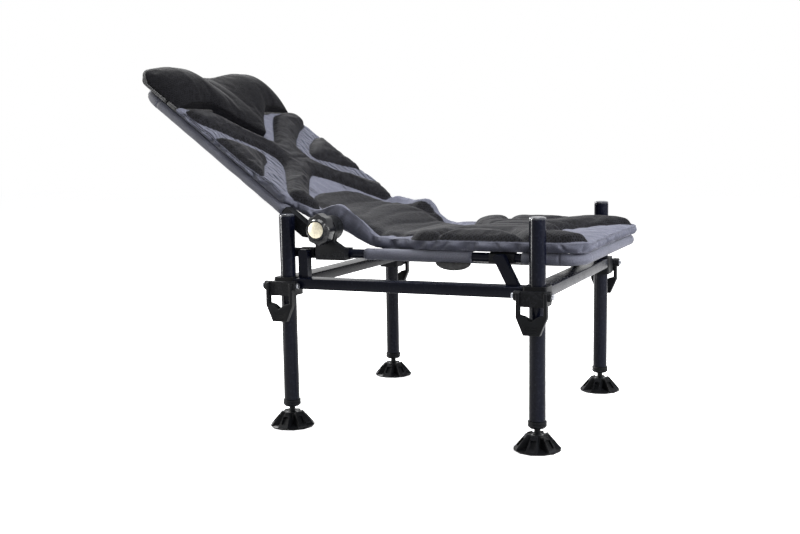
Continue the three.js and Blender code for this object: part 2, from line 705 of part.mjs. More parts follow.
function bracketBody() {
  const half = SLEEVE_RADIUS;
  const shoulder = SEAT_TUBE_Z + half;
  const low = SEAT_TUBE_Z - half;
  const innerFace = TUBE_X - BRACKET_INNER_REACH;
  const clamp = spanBlock([innerFace, BRACKET_OUTER_X], [BRACKET_FRONT, BRACKET_REAR], [low, shoulder]);
  const waist = HINGE_Z - HUB_RADIUS;
  const outline = [
    point(BRACKET_FRONT, low),
    point(BRACKET_REAR, low),
    point(BRACKET_REAR, waist),
    point(HINGE_Y + HUB_RADIUS, HINGE_Z),
    point(HINGE_Y - HUB_RADIUS, HINGE_Z),
    point(HINGE_Y - 0.8 * HUB_RADIUS, waist),
    point((BRACKET_FRONT + HINGE_Y - HUB_RADIUS) / 2, shoulder + BRACKET_DROP / 2),
    point(BRACKET_FRONT, shoulder),
  ];
  const neck = sidePlate(outline, BRACKET_INNER_X, BRACKET_OUTER_X, MOULD_BEVEL);
  const hub = solid(alongX(turned(rodProfile(HUB_RADIUS, BRACKET_INNER_X, BRACKET_OUTER_X)))
    .translate(0, HINGE_Y, HINGE_Z));
  const tubeHole = solid(alongY(turned(rodProfile(SLEEVE_BORE, -SEAT_TUBE_REAR, SEAT_TUBE_REAR)))
    .translate(TUBE_X, 0, SEAT_TUBE_Z));
  const pivotHole = pivotHoleBody().translate([0, HINGE_Y, HINGE_Z]);
  return cut(join(clamp, neck, hub), tubeHole, pivotHole);
}

function sleeveAlongY(x, from, to) {
  const profile = ringProfile(SLEEVE_RADIUS, SLEEVE_BORE, Math.min(from, to), Math.max(from, to));
  return solid(alongY(turned(profile)).translate(x, 0, 0));
}

function sleeveAlongX(y, halfLength) {
  const profile = ringProfile(SLEEVE_RADIUS, SLEEVE_BORE, -halfLength, halfLength);
  return solid(alongX(turned(profile)).translate(0, y, 0));
}

// Sling: a sheet on top of the tubes with sleeves round them; z = 0 is the tubes' centre
function slingBody(start, end, sleeveRuns) {
  const towards = Math.sign(end - start);
  const reach = [Math.min(start, end), Math.max(start, end)];
  const sheetLow = SLEEVE_RADIUS - SLING_THICKNESS;
  let body = spanBlock([-TUBE_X, TUBE_X], reach, [sheetLow, SLEEVE_RADIUS]);
  const crossHalf = TUBE_X - TUBE_BEND - SLING_CORNER_GAP;
  body = join(body, sleeveAlongX(end, crossHalf));
  for (const [from, to] of sleeveRuns) {
    body = join(body, sleeveAlongY(TUBE_X, from, to), sleeveAlongY(-TUBE_X, from, to));
  }
  const outward = (1.5 * TUBE_BEND + TUBE_RADIUS) * Math.SQRT1_2;
  for (const side of [-1, 1]) {
    const square = block(TUBE_BEND, 2 * TUBE_BEND, 2 * SLEEVE_RADIUS, 0, 0, SLEEVE_RADIUS);
    const x = side * (TUBE_X - TUBE_BEND + outward);
    const y = end - towards * (TUBE_BEND - outward);
    body = cut(body, square.rotate([0, 0, side * towards * 45]).translate([x, y, 0]));
  }
  return body;
}

function addSeat(parent) {
  const frame = bentTube(SEAT_TUBE_REAR, -SEAT_TUBE_FRONT);
  piece(parent, 'seat_frame_tube', frame, PAINT, 0, 0, SEAT_TUBE_Z);

  const gapRear = SEAT_SLEEVE_GAP_Y + SEAT_SLEEVE_GAP / 2;
  const gapFront = SEAT_SLEEVE_GAP_Y - SEAT_SLEEVE_GAP / 2;
  const bendStart = -SEAT_TUBE_FRONT + TUBE_BEND + SLING_CORNER_GAP;
  const sleeveRuns = [[SEAT_SLING_REAR, gapRear], [gapFront, bendStart]];
  let sling = slingBody(SEAT_SLING_REAR, -SEAT_TUBE_FRONT, sleeveRuns);
  const notchWidth = 2 * SLEEVE_RADIUS + SLING_CORNER_GAP;
  for (const side of [-1, 1]) {
    const notch = block(notchWidth, SEAT_SLEEVE_GAP, SLEEVE_RADIUS, 0, SEAT_SLEEVE_GAP_Y, SLEEVE_RADIUS);
    sling = cut(sling, notch.translate([side * TUBE_X, 0, 0]));
  }
  piece(parent, 'seat_sling', sling, SLEEVE_CLOTH, 0, 0, SEAT_TUBE_Z);

  for (const [name, side] of [['left', 1], ['right', -1]]) {
    const front = mirrorTo(side, saddleBody(SADDLE_LENGTH));
    const rear = mirrorTo(side, saddleBody(SADDLE_REAR_LENGTH));
    piece(parent, `saddle_front_${name}`, front, PLASTIC, side * TUBE_X, STRUT_FRONT_TOP_Y, SEAT_TUBE_Z);
    piece(parent, `saddle_rear_${name}`, rear, PLASTIC, side * TUBE_X, STRUT_REAR_Y, SEAT_TUBE_Z);
    piece(parent, `hinge_bracket_${name}`, mirrorTo(side, bracketBody()), PLASTIC);
  }

  const tab = new THREE.Shape();
  tab.absellipse(0, 0, TAB_LENGTH / 2, TAB_DROP, Math.PI, 2 * Math.PI);
  const tabZ = SEAT_TUBE_Z - SLEEVE_RADIUS - SEAM;
  const tabBody = sidePlate(tab, -TAB_THICKNESS / 2, TAB_THICKNESS / 2, 0, SMALL_SEGMENTS);
  piece(parent, 'sleeve_tab', tabBody, TAB_CLOTH, -TUBE_X, TAB_Y, tabZ);
}

// Recline hinge: arms on the back, pivot bolts and locking knobs on the seat's brackets
const ARM_OUTER_X = BRACKET_INNER_X - RUNNING_GAP;
const ARM_INNER_X = ARM_OUTER_X - ARM_PLATE;
const KNOB_BASE_X = BRACKET_OUTER_X + SEAM;

// Arm for the left side, in the back's own frame with the pivot at the origin
function backArmBody() {
  const socketLow = -BACK_TUBE_DROP - ARM_SOCKET_HALF;
  const socketHigh = -BACK_TUBE_DROP + ARM_SOCKET_HALF;
  const outline = [
    point(HUB_RADIUS, 0),
    point(ARM_SOCKET_START + ARM_SOCKET_HALF / 2, socketHigh),
    point(ARM_SOCKET_END, socketHigh),
    point(ARM_SOCKET_END, socketLow),
    point(ARM_SOCKET_START, socketLow),
    point(-HUB_RADIUS / 2, (-Math.sqrt(3) / 2) * HUB_RADIUS),
  ];
  const web = sidePlate(outline, ARM_INNER_X, ARM_OUTER_X, MOULD_BEVEL);
  const hub = solid(alongX(turned(rodProfile(HUB_RADIUS, ARM_INNER_X, ARM_OUTER_X))));
  const socketSpan = [TUBE_X - ARM_SOCKET_HALF, TUBE_X + ARM_SOCKET_HALF];
  const socket = spanBlock(socketSpan, [ARM_SOCKET_START, ARM_SOCKET_END], [socketLow, socketHigh]);
  const tubeHole = solid(alongY(turned(rodProfile(SLEEVE_BORE, BACK_TUBE_START - SEAM, 2 * ARM_SOCKET_END)))
    .translate(TUBE_X, 0, -BACK_TUBE_DROP));
  return cut(join(web, hub, socket), tubeHole, pivotHoleBody());
}

function pivotBoltBody() {
  const headLow = ARM_INNER_X - SEAM - PIVOT_HEAD;
  const profile = [
    [0, headLow],
    [PIVOT_HEAD_RADIUS, headLow],
    [PIVOT_HEAD_RADIUS, headLow + PIVOT_HEAD],
    [PIVOT_RADIUS, headLow + PIVOT_HEAD],
    [PIVOT_RADIUS, KNOB_BASE_X + KNOB_BORE_DEPTH - SEAM],
    [0, KNOB_BASE_X + KNOB_BORE_DEPTH - SEAM],
  ];
  return solid(alongX(turned(profile, SMALL_SEGMENTS)));
}

function knobBody() {
  const outline = [];
  const pointsPerLobe = 4;
  for (let i = 0; i < KNOB_LOBES * pointsPerLobe; i += 1) {
    const angle = (i * 2 * Math.PI) / (KNOB_LOBES * pointsPerLobe);
    const swell = 1 + KNOB_LOBE_SHARE * Math.cos(KNOB_LOBES * angle);
    outline.push(point(KNOB_HALF_Y * swell * Math.cos(angle), KNOB_HALF_Z * swell * Math.sin(angle)));
  }
  const grip = sidePlate(outline, 0, KNOB_DEPTH, KNOB_BEVEL);
  const face = KNOB_DEPTH + KNOB_BEZEL_DEPTH;
  const bezel = solid(alongX(turned([
    [0, KNOB_DEPTH - KNOB_BEVEL],
    [KNOB_BEZEL_RADIUS + KNOB_BEVEL / 2, KNOB_DEPTH - KNOB_BEVEL],
    [KNOB_BEZEL_RADIUS + KNOB_BEVEL / 2, KNOB_DEPTH],
    [KNOB_BEZEL_RADIUS - KNOB_BEVEL / 2, face],
    [0, face],
  ])));
  const recess = solid(alongX(turned(rodProfile(KNOB_DISC_RADIUS + SEAM, face - KNOB_DISC_DEPTH, 2 * face))));
  const boreProfile = rodProfile(PIVOT_RADIUS + SEAM, -KNOB_BORE_DEPTH, KNOB_BORE_DEPTH);
  const bore = solid(alongX(turned(boreProfile, SMALL_SEGMENTS)));
  return cut(join(grip, bezel), recess, bore);
}

function knobDiscBody() {
  const low = KNOB_DEPTH + KNOB_BEZEL_DEPTH - KNOB_DISC_DEPTH + SEAM;
  const edge = KNOB_DEPTH + KNOB_BEZEL_DEPTH;
  return solid(alongX(turned([
    [0, low],
    [KNOB_DISC_RADIUS, low],
    [KNOB_DISC_RADIUS, edge - SEAM],
    [KNOB_DISC_RADIUS - 2 * SEAM, edge],
    [KNOB_DISC_RADIUS / 2, edge + SEAM],
    [0, edge + 2 * SEAM],
  ])));
}

function addHinges(parent, back) {
  for (const [name, side] of [['left', 1], ['right', -1]]) {
    piece(back, `back_arm_${name}`, mirrorTo(side, backArmBody()), PLASTIC);
    piece(parent, `pivot_bolt_${name}`, mirrorTo(side, pivotBoltBody()), STEEL, 0, HINGE_Y, HINGE_Z);
    const knobX = side * KNOB_BASE_X;
    piece(parent, `knob_${name}`, mirrorTo(side, knobBody()), PLASTIC, knobX, HINGE_Y, HINGE_Z);
    piece(parent, `knob_disc_${name}`, mirrorTo(side, knobDiscBody()), DISC, knobX, HINGE_Y, HINGE_Z);
  }
}

// Cushions: a grid shaped on top, drawn-in sides all round and a flat underside
function ramp(value, low, high) {
  const t = THREE.MathUtils.clamp((value - low) / (high - low), 0, 1);
  return t * t * (3 - 2 * t);
}

function dome(share) {
  return Math.sqrt(Math.max(0, 1 - share * share));
}

// Rounded ridge along a line whose half width grows from one end to the other
function ridge(place, start, end, startHalf, endHalf) {
  const along = end.clone().sub(start);
  const reach = place.clone().sub(start);
  const t = THREE.MathUtils.clamp(reach.dot(along) / along.lengthSq(), 0, 1);
  return dome(reach.addScaledVector(along, -t).length() / (startHalf + (endHalf - startHalf) * t));
}

function mound(place, centre, halfX, halfY) {
  return dome(Math.hypot((place.x - centre.x) / halfX, (place.y - centre.y) / halfY));
}

// The plan runs over shares s and t from 0 to 1; tuck is how far each side draws in
function cushionBody({ cellsS, cellsT, plan, heightAt, edgeAt, lift, tuck }) {
  const inset = (s, t, k) => {
    const size = [plan(1, t).distanceTo(plan(0, t)), plan(s, 1).distanceTo(plan(s, 0))];
    const shareS = (k * tuck.sides) / size[0];
    const low = (k * tuck.start) / size[1];
    const high = (k * tuck.end) / size[1];
    return plan(shareS + s * (1 - 2 * shareS), low + t * (1 - low - high));
  };
  const positions = [];
  const add = (place, height) => positions.push(...lift(place, height).toArray()) / 3 - 1;
  const top = [];
  for (let j = 0; j <= cellsT; j += 1) {
    const row = [];
    for (let i = 0; i <= cellsS; i += 1) {
      const s = i / cellsS;
      const t = j / cellsT;
      const rim = i === 0 || j === 0 || i === cellsS || j === cellsT;
      const place = rim ? inset(s, t, 0.5) : plan(s, t);
      row.push(add(place, rim ? edgeAt(place, s, t) : heightAt(place, s, t)));
    }
    top.push(row);
  }
  const rim = [];
  for (let i = 0; i < cellsS; i += 1) {
    rim.push([i, 0]);
  }
  for (let j = 0; j < cellsT; j += 1) {
    rim.push([cellsS, j]);
  }
  for (let i = cellsS; i > 0; i -= 1) {
    rim.push([i, cellsT]);
  }
  for (let j = cellsT; j > 0; j -= 1) {
    rim.push([0, j]);
  }
  const faces = [];
  for (let j = 0; j < cellsT; j += 1) {
    for (let i = 0; i < cellsS; i += 1) {
      const [a, b, c, d] = [top[j][i], top[j][i + 1], top[j + 1][i + 1], top[j + 1][i]];
      const even = (2 * i < cellsS) === (2 * j < cellsT);
      faces.push(...(even ? [a, b, c, a, c, d] : [a, b, d, b, c, d]));
    }
  }
  const loops = [rim.map(([i, j]) => top[j][i])];
  for (const [k, share] of [[0, PAD_SIDE_BULGE_SHARE], [1, 0]]) {
    loops.push(rim.map(([i, j]) => {
      const place = inset(i / cellsS, j / cellsT, k);
      return add(place, share * edgeAt(place, i / cellsS, j / cellsT));
    }));
  }
  for (const [upper, lower] of [[loops[0], loops[1]], [loops[1], loops[2]]]) {
    for (let i = 0; i < rim.length; i += 1) {
      const next = (i + 1) % rim.length;
      faces.push(upper[i], lower[i], lower[next], upper[i], lower[next], upper[next]);
    }
  }
  const floor = rim.map(([i, j]) => inset(i / cellsS, j / cellsT, 1));
  for (const corners of THREE.ShapeUtils.triangulateShape(floor, [])) {
    faces.push(...corners.reverse().map((i) => loops[2][i]));
  }
  const geometry = new THREE.BufferGeometry();
  geometry.setAttribute('position', new THREE.BufferAttribute(new Float32Array(positions), 3));
  geometry.setIndex(faces);
  return solid(geometry);
}

function layFlat(place, height) {
  return new THREE.Vector3(place.x, place.y, height);
}

// Half width of a plan whose corners are rounded at one end
function roundedHalf(half, fromEnd) {
  const short = Math.max(0, PAD_CORNER_RADIUS - fromEnd) / PAD_CORNER_RADIUS;
  return half - PAD_CORNER_RADIUS * (1 - dome(short));
}

function seatCushionBody() {
  const length = SEAT_PAD_REAR - SEAT_PAD_FRONT - SEAM;
  const halfAt = (y) => {
    const waist = ramp(y, SEAT_WAIST_START, SEAT_PAD_REAR);
    const half = THREE.MathUtils.lerp(PAD_HALF_WIDTH, PAD_WAIST_HALF, waist);
    return roundedHalf(half, y - SEAT_PAD_FRONT);
  };
  const plan = (s, t) => {
    const y = SEAT_PAD_FRONT + t * length;
    return point((2 * s - 1) * halfAt(y), y);
  };
  const rearRise = (y) => (FOLD_FRONT_HEIGHT - SEAT_PAD_EDGE) * ramp(y, SEAT_WAIST_START, SEAT_PAD_REAR);
  const at = ([x, y]) => point(x * PAD_HALF_WIDTH, SEAT_PAD_FRONT + y * length);
  const middle = at(SEAT_MIDDLE_SHARES);
  return cushionBody({
    cellsS: PAD_CELLS_ACROSS,
    cellsT: PAD_CELLS_ALONG,
    plan,
    lift: layFlat,
    tuck: { sides: PAD_SIDE_TUCK, start: PAD_SIDE_TUCK, end: 0 },
    edgeAt: (place, s, t) => {
      const share = t < 1 ? 0.6 : 1 - 0.4 * Math.abs(2 * s - 1) ** 6;
      return SEAT_PAD_EDGE + rearRise(place.y) * share;
    },
    heightAt: (place) => {
      const p = point(Math.abs(place.x), place.y);
      const raised = Math.max(
        ridge(p, middle, at(SEAT_FRONT_ARM_SHARES), SEAT_BOLSTER_HALF, SEAT_FRONT_ARM_HALF),
        0.9 * ridge(p, middle, at(SEAT_REAR_ARM_SHARES), SEAT_BOLSTER_HALF, SEAT_REAR_ARM_HALF),
        0.95 * mound(p, at(SEAT_SIDE_PAD_SHARES), SEAT_SIDE_PAD_HALF_X, SEAT_SIDE_PAD_HALF_Y),
        0.6 * mound(p, at(SEAT_TEAR_SHARES), SEAT_TEAR_HALF_X, SEAT_TEAR_HALF_Y),
      );
      const rim = Math.min(halfAt(p.y) - p.x, p.y - SEAT_PAD_FRONT);
      const inward = ramp(rim, 0, 2 * SEAT_PAD_EDGE);
      const rear = ramp(p.y, SEAT_WAIST_START, SEAT_PAD_REAR);
      const level = THREE.MathUtils.lerp(SEAT_PAD_EDGE, SEAT_BASE, inward);
      const base = level + rearRise(p.y) * (1 - 0.4 * (p.x / halfAt(p.y)) ** 6);
      return base + SEAT_BOLSTER * raised * (0.4 + 0.6 * inward) * (1 - rear);
    },
  });
}

// Lower edge of the headrest, a shallow V
function headrestFoot(x) {
  return THREE.MathUtils.lerp(HEADREST_POINT, HEADREST_SHOULDER, Math.abs(x) / HEADREST_HALF_WIDTH);
}

function backCushionBody() {
  const plan = (s, t) => {
    const x = (2 * s - 1) * PAD_HALF_WIDTH;
    const start = BACK_PAD_START + SEAM;
    return point(x, start + t * (headrestFoot(x) - SEAM - start));
  };
  const lumbar = (u) => 1 - ramp(u, BACK_PAD_START, BACK_PAD_START + 4 * HUB_RADIUS);
  const length = HEADREST_SHOULDER - BACK_PAD_START;
  const at = ([x, y]) => point(x * PAD_HALF_WIDTH, BACK_PAD_START + y * length);
  const middle = at(BACK_MIDDLE_SHARES);
  return cushionBody({
    cellsS: PAD_CELLS_ACROSS,
    cellsT: PAD_CELLS_ALONG,
    plan,
    lift: layFlat,
    tuck: { sides: PAD_SIDE_TUCK, start: 0, end: 0 },
    edgeAt: (place, s, t) => {
      const side = s === 0 || s === 1;
      const end = t < 1 ? FOLD_REAR_HEIGHT : BACK_BASE;
      return side ? BACK_PAD_EDGE + BACK_PAD_LUMBAR * lumbar(place.y) : end;
    },
    heightAt: (place, s, t) => {
      const p = point(Math.abs(place.x), place.y);
      const raised = Math.max(
        ridge(p, middle, at(BACK_UPPER_ARM_SHARES), BACK_UPPER_ARM_HALF, BACK_UPPER_ARM_HALF),
        ridge(p, middle, at(BACK_LOWER_ARM_SHARES), BACK_UPPER_ARM_HALF, BACK_LOWER_ARM_HALF),
        0.85 * mound(p, at(BACK_SIDE_PAD_SHARES), BACK_SIDE_PAD_HALF, BACK_SIDE_PAD_HALF),
        0.8 * mound(p, at(BACK_TEAR_SHARES), SEAT_TEAR_HALF_X, BACK_TEAR_HALF_Y),
      );
      const inward = ramp(PAD_HALF_WIDTH - p.x, 0, 2 * BACK_PAD_EDGE);
      const foot = ramp(1 - t, 0, 0.12);
      const base = THREE.MathUtils.lerp(BACK_PAD_EDGE, BACK_BASE, inward) + BACK_PAD_LUMBAR * lumbar(p.y);
      return base + BACK_BOLSTER * raised * (0.35 + 0.65 * inward) * (0.4 + 0.6 * foot);
    },
  });
}

function headrestBody() {
  const plan = (s, t) => {
    const x = (2 * s - 1) * HEADREST_HALF_WIDTH;
    const top = HEADREST_TOP - HEADREST_TOP_DIP * (1 - ramp(Math.abs(x), 0, HEADREST_HALF_WIDTH / 2));
    const round = PAD_CORNER_RADIUS - roundedHalf(PAD_CORNER_RADIUS, HEADREST_HALF_WIDTH - Math.abs(x));
    return point(x, THREE.MathUtils.lerp(headrestFoot(x) + SEAM, top - round, t));
  };
  return cushionBody({
    cellsS: HEADREST_CELLS_ACROSS,
    cellsT: HEADREST_CELLS_ALONG,
    plan,
    lift: layFlat,
    tuck: { sides: PAD_SIDE_TUCK / 2, start: 0, end: PAD_SIDE_TUCK },
    edgeAt: (place, s, t) => (t > 0 || s === 0 || s === 1 ? 2 * HEADREST_EDGE : HEADREST_EDGE),
    heightAt: (place, s, t) => {
      const x = Math.abs(place.x);
      const [dipStart, dipEnd] = HEADREST_DIP_SHARES.map((share) => share * HEADREST_HALF_WIDTH);
      const crest = THREE.MathUtils.lerp(HEADREST_MIDDLE, HEADREST_LOBE, ramp(x, dipStart, dipEnd));
      const across = dome(x / (HEADREST_HALF_WIDTH + PAD_SIDE_TUCK));
      const along = dome((t - 0.62) / 0.68) * ramp(t, -0.2, 0.5);
      return HEADREST_EDGE + (crest - HEADREST_EDGE) * along * Math.min(1, 1.4 * across);
    },
  });
}

// Fold: its underside and top follow two lines from the seat cushion up to the back cushion
function foldBody() {
  const inBack = (u, v) => point(u, v).rotateAround(point(0, 0), RECLINE_ANGLE).add(point(HINGE_Y, HINGE_Z));
  const sheet = BACK_SLING_TOP + SEAM;
  const start = point(SEAT_PAD_REAR, SEAT_SLING_TOP + SEAM);
  const end = inBack(BACK_PAD_START, sheet);
  const span = end.clone().sub(start);
  const between = ([y, z]) => point(start.x + y * span.x, start.y + z * span.y);
  const lower = new THREE.SplineCurve([start, ...FOLD_LOW_SHARES.map(between), end]);
  const upper = new THREE.SplineCurve([
    point(start.x, start.y + FOLD_FRONT_HEIGHT),
    ...FOLD_TOP_SHARES.map(between),
    inBack(BACK_PAD_START, sheet + FOLD_REAR_HEIGHT),
  ]);
  return cushionBody({
    cellsS: FOLD_CELLS_ACROSS,
    cellsT: FOLD_CELLS_ACROSS,
    plan: (s, t) => point((2 * s - 1) * PAD_WAIST_HALF, t),
    lift: (place, height) => {
      const low = lower.getPoint(place.y);
      const p = low.lerp(upper.getPoint(place.y), height);
      return new THREE.Vector3(place.x, p.x, p.y);
    },
    tuck: { sides: PAD_SIDE_TUCK, start: 0, end: 0 },
    edgeAt: (place, s) => (s === 0 || s === 1 ? 0.6 : 1),
    heightAt: (place) => 1 - 0.4 * Math.abs(place.x / PAD_WAIST_HALF) ** 6,
  });
}

function addCushions(parent, back) {
  piece(parent, 'seat_cushion', seatCushionBody(), PAD_CLOTH, 0, 0, SEAT_SLING_TOP + SEAM);
  piece(parent, 'cushion_fold', foldBody(), PAD_CLOTH);
  piece(back, 'back_cushion', backCushionBody(), PAD_CLOTH, 0, 0, BACK_SLING_TOP + SEAM);
  piece(back, 'headrest', headrestBody(), MESH_CLOTH, 0, 0, BACK_SLING_TOP + SEAM);
}

function addBack(back) {
  const frame = bentTube(BACK_TUBE_START, BACK_TUBE_TOP);
  piece(back, 'back_frame_tube', frame, PAINT, 0, 0, -BACK_TUBE_DROP);
  const bendStart = BACK_TUBE_TOP - TUBE_BEND - SLING_CORNER_GAP;
  const sling = slingBody(BACK_SLING_START, BACK_TUBE_TOP, [[BACK_SLING_START, bendStart]]);
  piece(back, 'back_sling', sling, SLEEVE_CLOTH, 0, 0, -BACK_TUBE_DROP);
}

const chair = new THREE.Group();
chair.name = 'carp_fishing_chair';
const back = new THREE.Group();
back.name = 'backrest';
back.position.set(0, HINGE_Y, HINGE_Z);
back.rotation.x = RECLINE_ANGLE;
chair.add(back);

addRails(chair);
for (const [endName, sideY] of [['front', -1], ['rear', 1]]) {
  for (const [sideName, sideX] of [['left', 1], ['right', -1]]) {
    addCorner(chair, `${endName}_${sideName}`, sideX, sideY);
  }
}
addSeat(chair);
addBack(back);
addHinges(chair, back);
addCushions(chair, back);

const overall = new THREE.Box3().setFromObject(chair, true);
chair.position.y = -(overall.min.y + overall.max.y) / 2;

export default chair;
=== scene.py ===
"""Reclining carp fishing chair, dressed for a studio picture.

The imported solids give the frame; this script gives each piece its real surface: powder coated
tube, moulded nylon, zinc plated bolts, woven slings and a quilted mattress of air mesh and cloth.
Lengths in the classes are millimetres in the chair's own axes: X to the sitter's left, Y to the
rear from midway between the legs, Z up from the floor.
"""

import json
import logging
import math
from collections.abc import Callable
from dataclasses import dataclass, field
from enum import Enum

import bmesh
import bpy
import numpy as np
from mathutils import Matrix, Vector
from mathutils.geometry import delaunay_2d_cdt

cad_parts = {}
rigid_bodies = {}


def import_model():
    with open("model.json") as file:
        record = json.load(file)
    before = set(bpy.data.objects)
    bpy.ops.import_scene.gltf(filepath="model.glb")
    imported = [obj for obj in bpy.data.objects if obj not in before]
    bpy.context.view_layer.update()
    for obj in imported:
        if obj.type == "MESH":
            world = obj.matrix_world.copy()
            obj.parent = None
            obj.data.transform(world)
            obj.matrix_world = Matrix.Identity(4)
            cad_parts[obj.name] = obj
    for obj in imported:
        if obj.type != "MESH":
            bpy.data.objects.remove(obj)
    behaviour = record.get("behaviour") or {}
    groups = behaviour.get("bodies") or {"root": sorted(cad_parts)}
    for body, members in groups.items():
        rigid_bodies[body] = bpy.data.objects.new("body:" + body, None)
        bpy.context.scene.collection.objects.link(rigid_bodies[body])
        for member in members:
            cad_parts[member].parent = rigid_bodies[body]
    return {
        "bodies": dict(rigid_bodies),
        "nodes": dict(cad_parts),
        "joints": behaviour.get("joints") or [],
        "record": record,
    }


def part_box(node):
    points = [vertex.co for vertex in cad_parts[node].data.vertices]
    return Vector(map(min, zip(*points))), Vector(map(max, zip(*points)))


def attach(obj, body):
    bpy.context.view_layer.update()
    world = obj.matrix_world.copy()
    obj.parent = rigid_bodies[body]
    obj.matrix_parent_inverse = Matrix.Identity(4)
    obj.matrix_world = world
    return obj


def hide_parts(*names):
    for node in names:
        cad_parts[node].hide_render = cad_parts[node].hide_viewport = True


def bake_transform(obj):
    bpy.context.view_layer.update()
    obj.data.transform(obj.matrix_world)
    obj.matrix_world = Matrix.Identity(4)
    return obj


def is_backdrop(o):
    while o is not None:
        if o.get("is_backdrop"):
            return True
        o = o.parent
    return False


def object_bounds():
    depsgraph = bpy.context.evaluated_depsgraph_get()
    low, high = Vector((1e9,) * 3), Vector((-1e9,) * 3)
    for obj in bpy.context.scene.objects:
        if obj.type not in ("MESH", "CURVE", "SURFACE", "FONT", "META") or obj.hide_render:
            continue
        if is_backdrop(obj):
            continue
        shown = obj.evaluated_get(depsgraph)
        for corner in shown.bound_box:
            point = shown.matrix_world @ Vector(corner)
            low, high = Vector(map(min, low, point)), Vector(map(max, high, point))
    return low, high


log = logging.getLogger("chair")

HINGE_Y = 171.0
HINGE_Z = 391.0
RECLINE = math.radians(37.2)


class Body(Enum):
    """Bodies of the chair that pieces ride on."""

    BASE = "base"
    BACK = "backrest"


@dataclass
class Space:
    """Turns millimetres in the chair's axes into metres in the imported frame."""

    shift_y: float

    def metres(self, points: np.ndarray) -> np.ndarray:
        """Scale to metres and move Y to the frame's origin.

        Args:
            points: Array (..., 3) in millimetres.

        Returns:
            Array of the same shape in metres.
        """
        moved = np.asarray(points, float) / 1000.0
        moved[..., 1] += self.shift_y
        return moved


def from_back(u: np.ndarray, v: np.ndarray) -> tuple[np.ndarray, np.ndarray]:
    """Turn back-frame coordinates (up the back, out of its front) into chair Y and Z.

    Args:
        u: Distance up the back from the hinge, in millimetres.
        v: Distance out of the front of the back, in millimetres.

    Returns:
        Y and Z in the chair's axes.
    """
    c, s = math.cos(RECLINE), math.sin(RECLINE)
    return HINGE_Y + u * c - v * s, HINGE_Z + u * s + v * c


# Mesh building


def new_object(name: str, points: np.ndarray, faces: np.ndarray, smooth: bool = True) -> bpy.types.Object:
    """Make a mesh object from arrays.

    Args:
        name: Object name.
        points: Vertices (n, 3) in metres.
        faces: Quads or triangles (m, 3 or 4).
        smooth: Whether faces shade smooth.

    Returns:
        The linked object, at the origin.
    """
    mesh = bpy.data.meshes.new(name)
    sides = faces.shape[1]
    mesh.vertices.add(len(points))
    mesh.vertices.foreach_set("co", np.asarray(points, np.float32).ravel())
    mesh.loops.add(faces.size)
    mesh.loops.foreach_set("vertex_index", faces.astype(np.int32).ravel())
    mesh.polygons.add(len(faces))
    mesh.polygons.foreach_set("loop_start", np.arange(0, faces.size, sides, dtype=np.int32))
    mesh.polygons.foreach_set("use_smooth", np.full(len(faces), smooth))
    mesh.update(calc_edges=True)
    mesh.validate()
    obj = bpy.data.objects.new(name, mesh)
    bpy.context.scene.collection.objects.link(obj)
    return obj


def grid_quads(rows: int, columns: int, wrap_rows: bool = False, wrap_columns: bool = False) -> np.ndarray:
    """Quads of a grid of vertices numbered row by row.

    Args:
        rows: Number of rows of vertices.
        columns: Number of columns of vertices.
        wrap_rows: Whether the last row joins the first.
        wrap_columns: Whether the last column joins the first.

    Returns:
        Quads (m, 4).
    """
    i = np.arange(rows if wrap_rows else rows - 1)
    j = np.arange(columns if wrap_columns else columns - 1)
    ii, jj = np.meshgrid(i, j, indexing="ij")
    below, beside = (ii + 1) % rows, (jj + 1) % columns
    quads = np.stack(
        [ii * columns + jj, ii * columns + beside, below * columns + beside, below * columns + jj], -1
    )
    return quads.reshape(-1, 4)


def weld(obj: bpy.types.Object, distance: float = 1e-6) -> None:
    """Merge vertices that coincide and turn the faces of a closed shell outwards.

    Args:
        obj: The object.
        distance: How close vertices are to coincide, in metres.
    """
    bm = bmesh.new()
    bm.from_mesh(obj.data)
    bmesh.ops.remove_doubles(bm, verts=bm.verts, dist=distance)
    bmesh.ops.dissolve_degenerate(bm, edges=bm.edges, dist=distance)
    bmesh.ops.recalc_face_normals(bm, faces=bm.faces)
    bm.to_mesh(obj.data)
    bm.free()


def lay_cloth(obj: bpy.types.Object, plan: np.ndarray) -> None:
    """Give a mesh the UV map that cloth patterns follow, in metres.

    Args:
        obj: The object.
        plan: Place of each vertex on the flat cloth (n, 2), in millimetres.
    """
    corner = np.zeros(len(obj.data.loops), np.int32)
    obj.data.loops.foreach_get("vertex_index", corner)
    layer = obj.data.uv_layers.new(name="cloth")
    layer.data.foreach_set("uv", (plan[corner] / 1000).astype(np.float32).ravel())


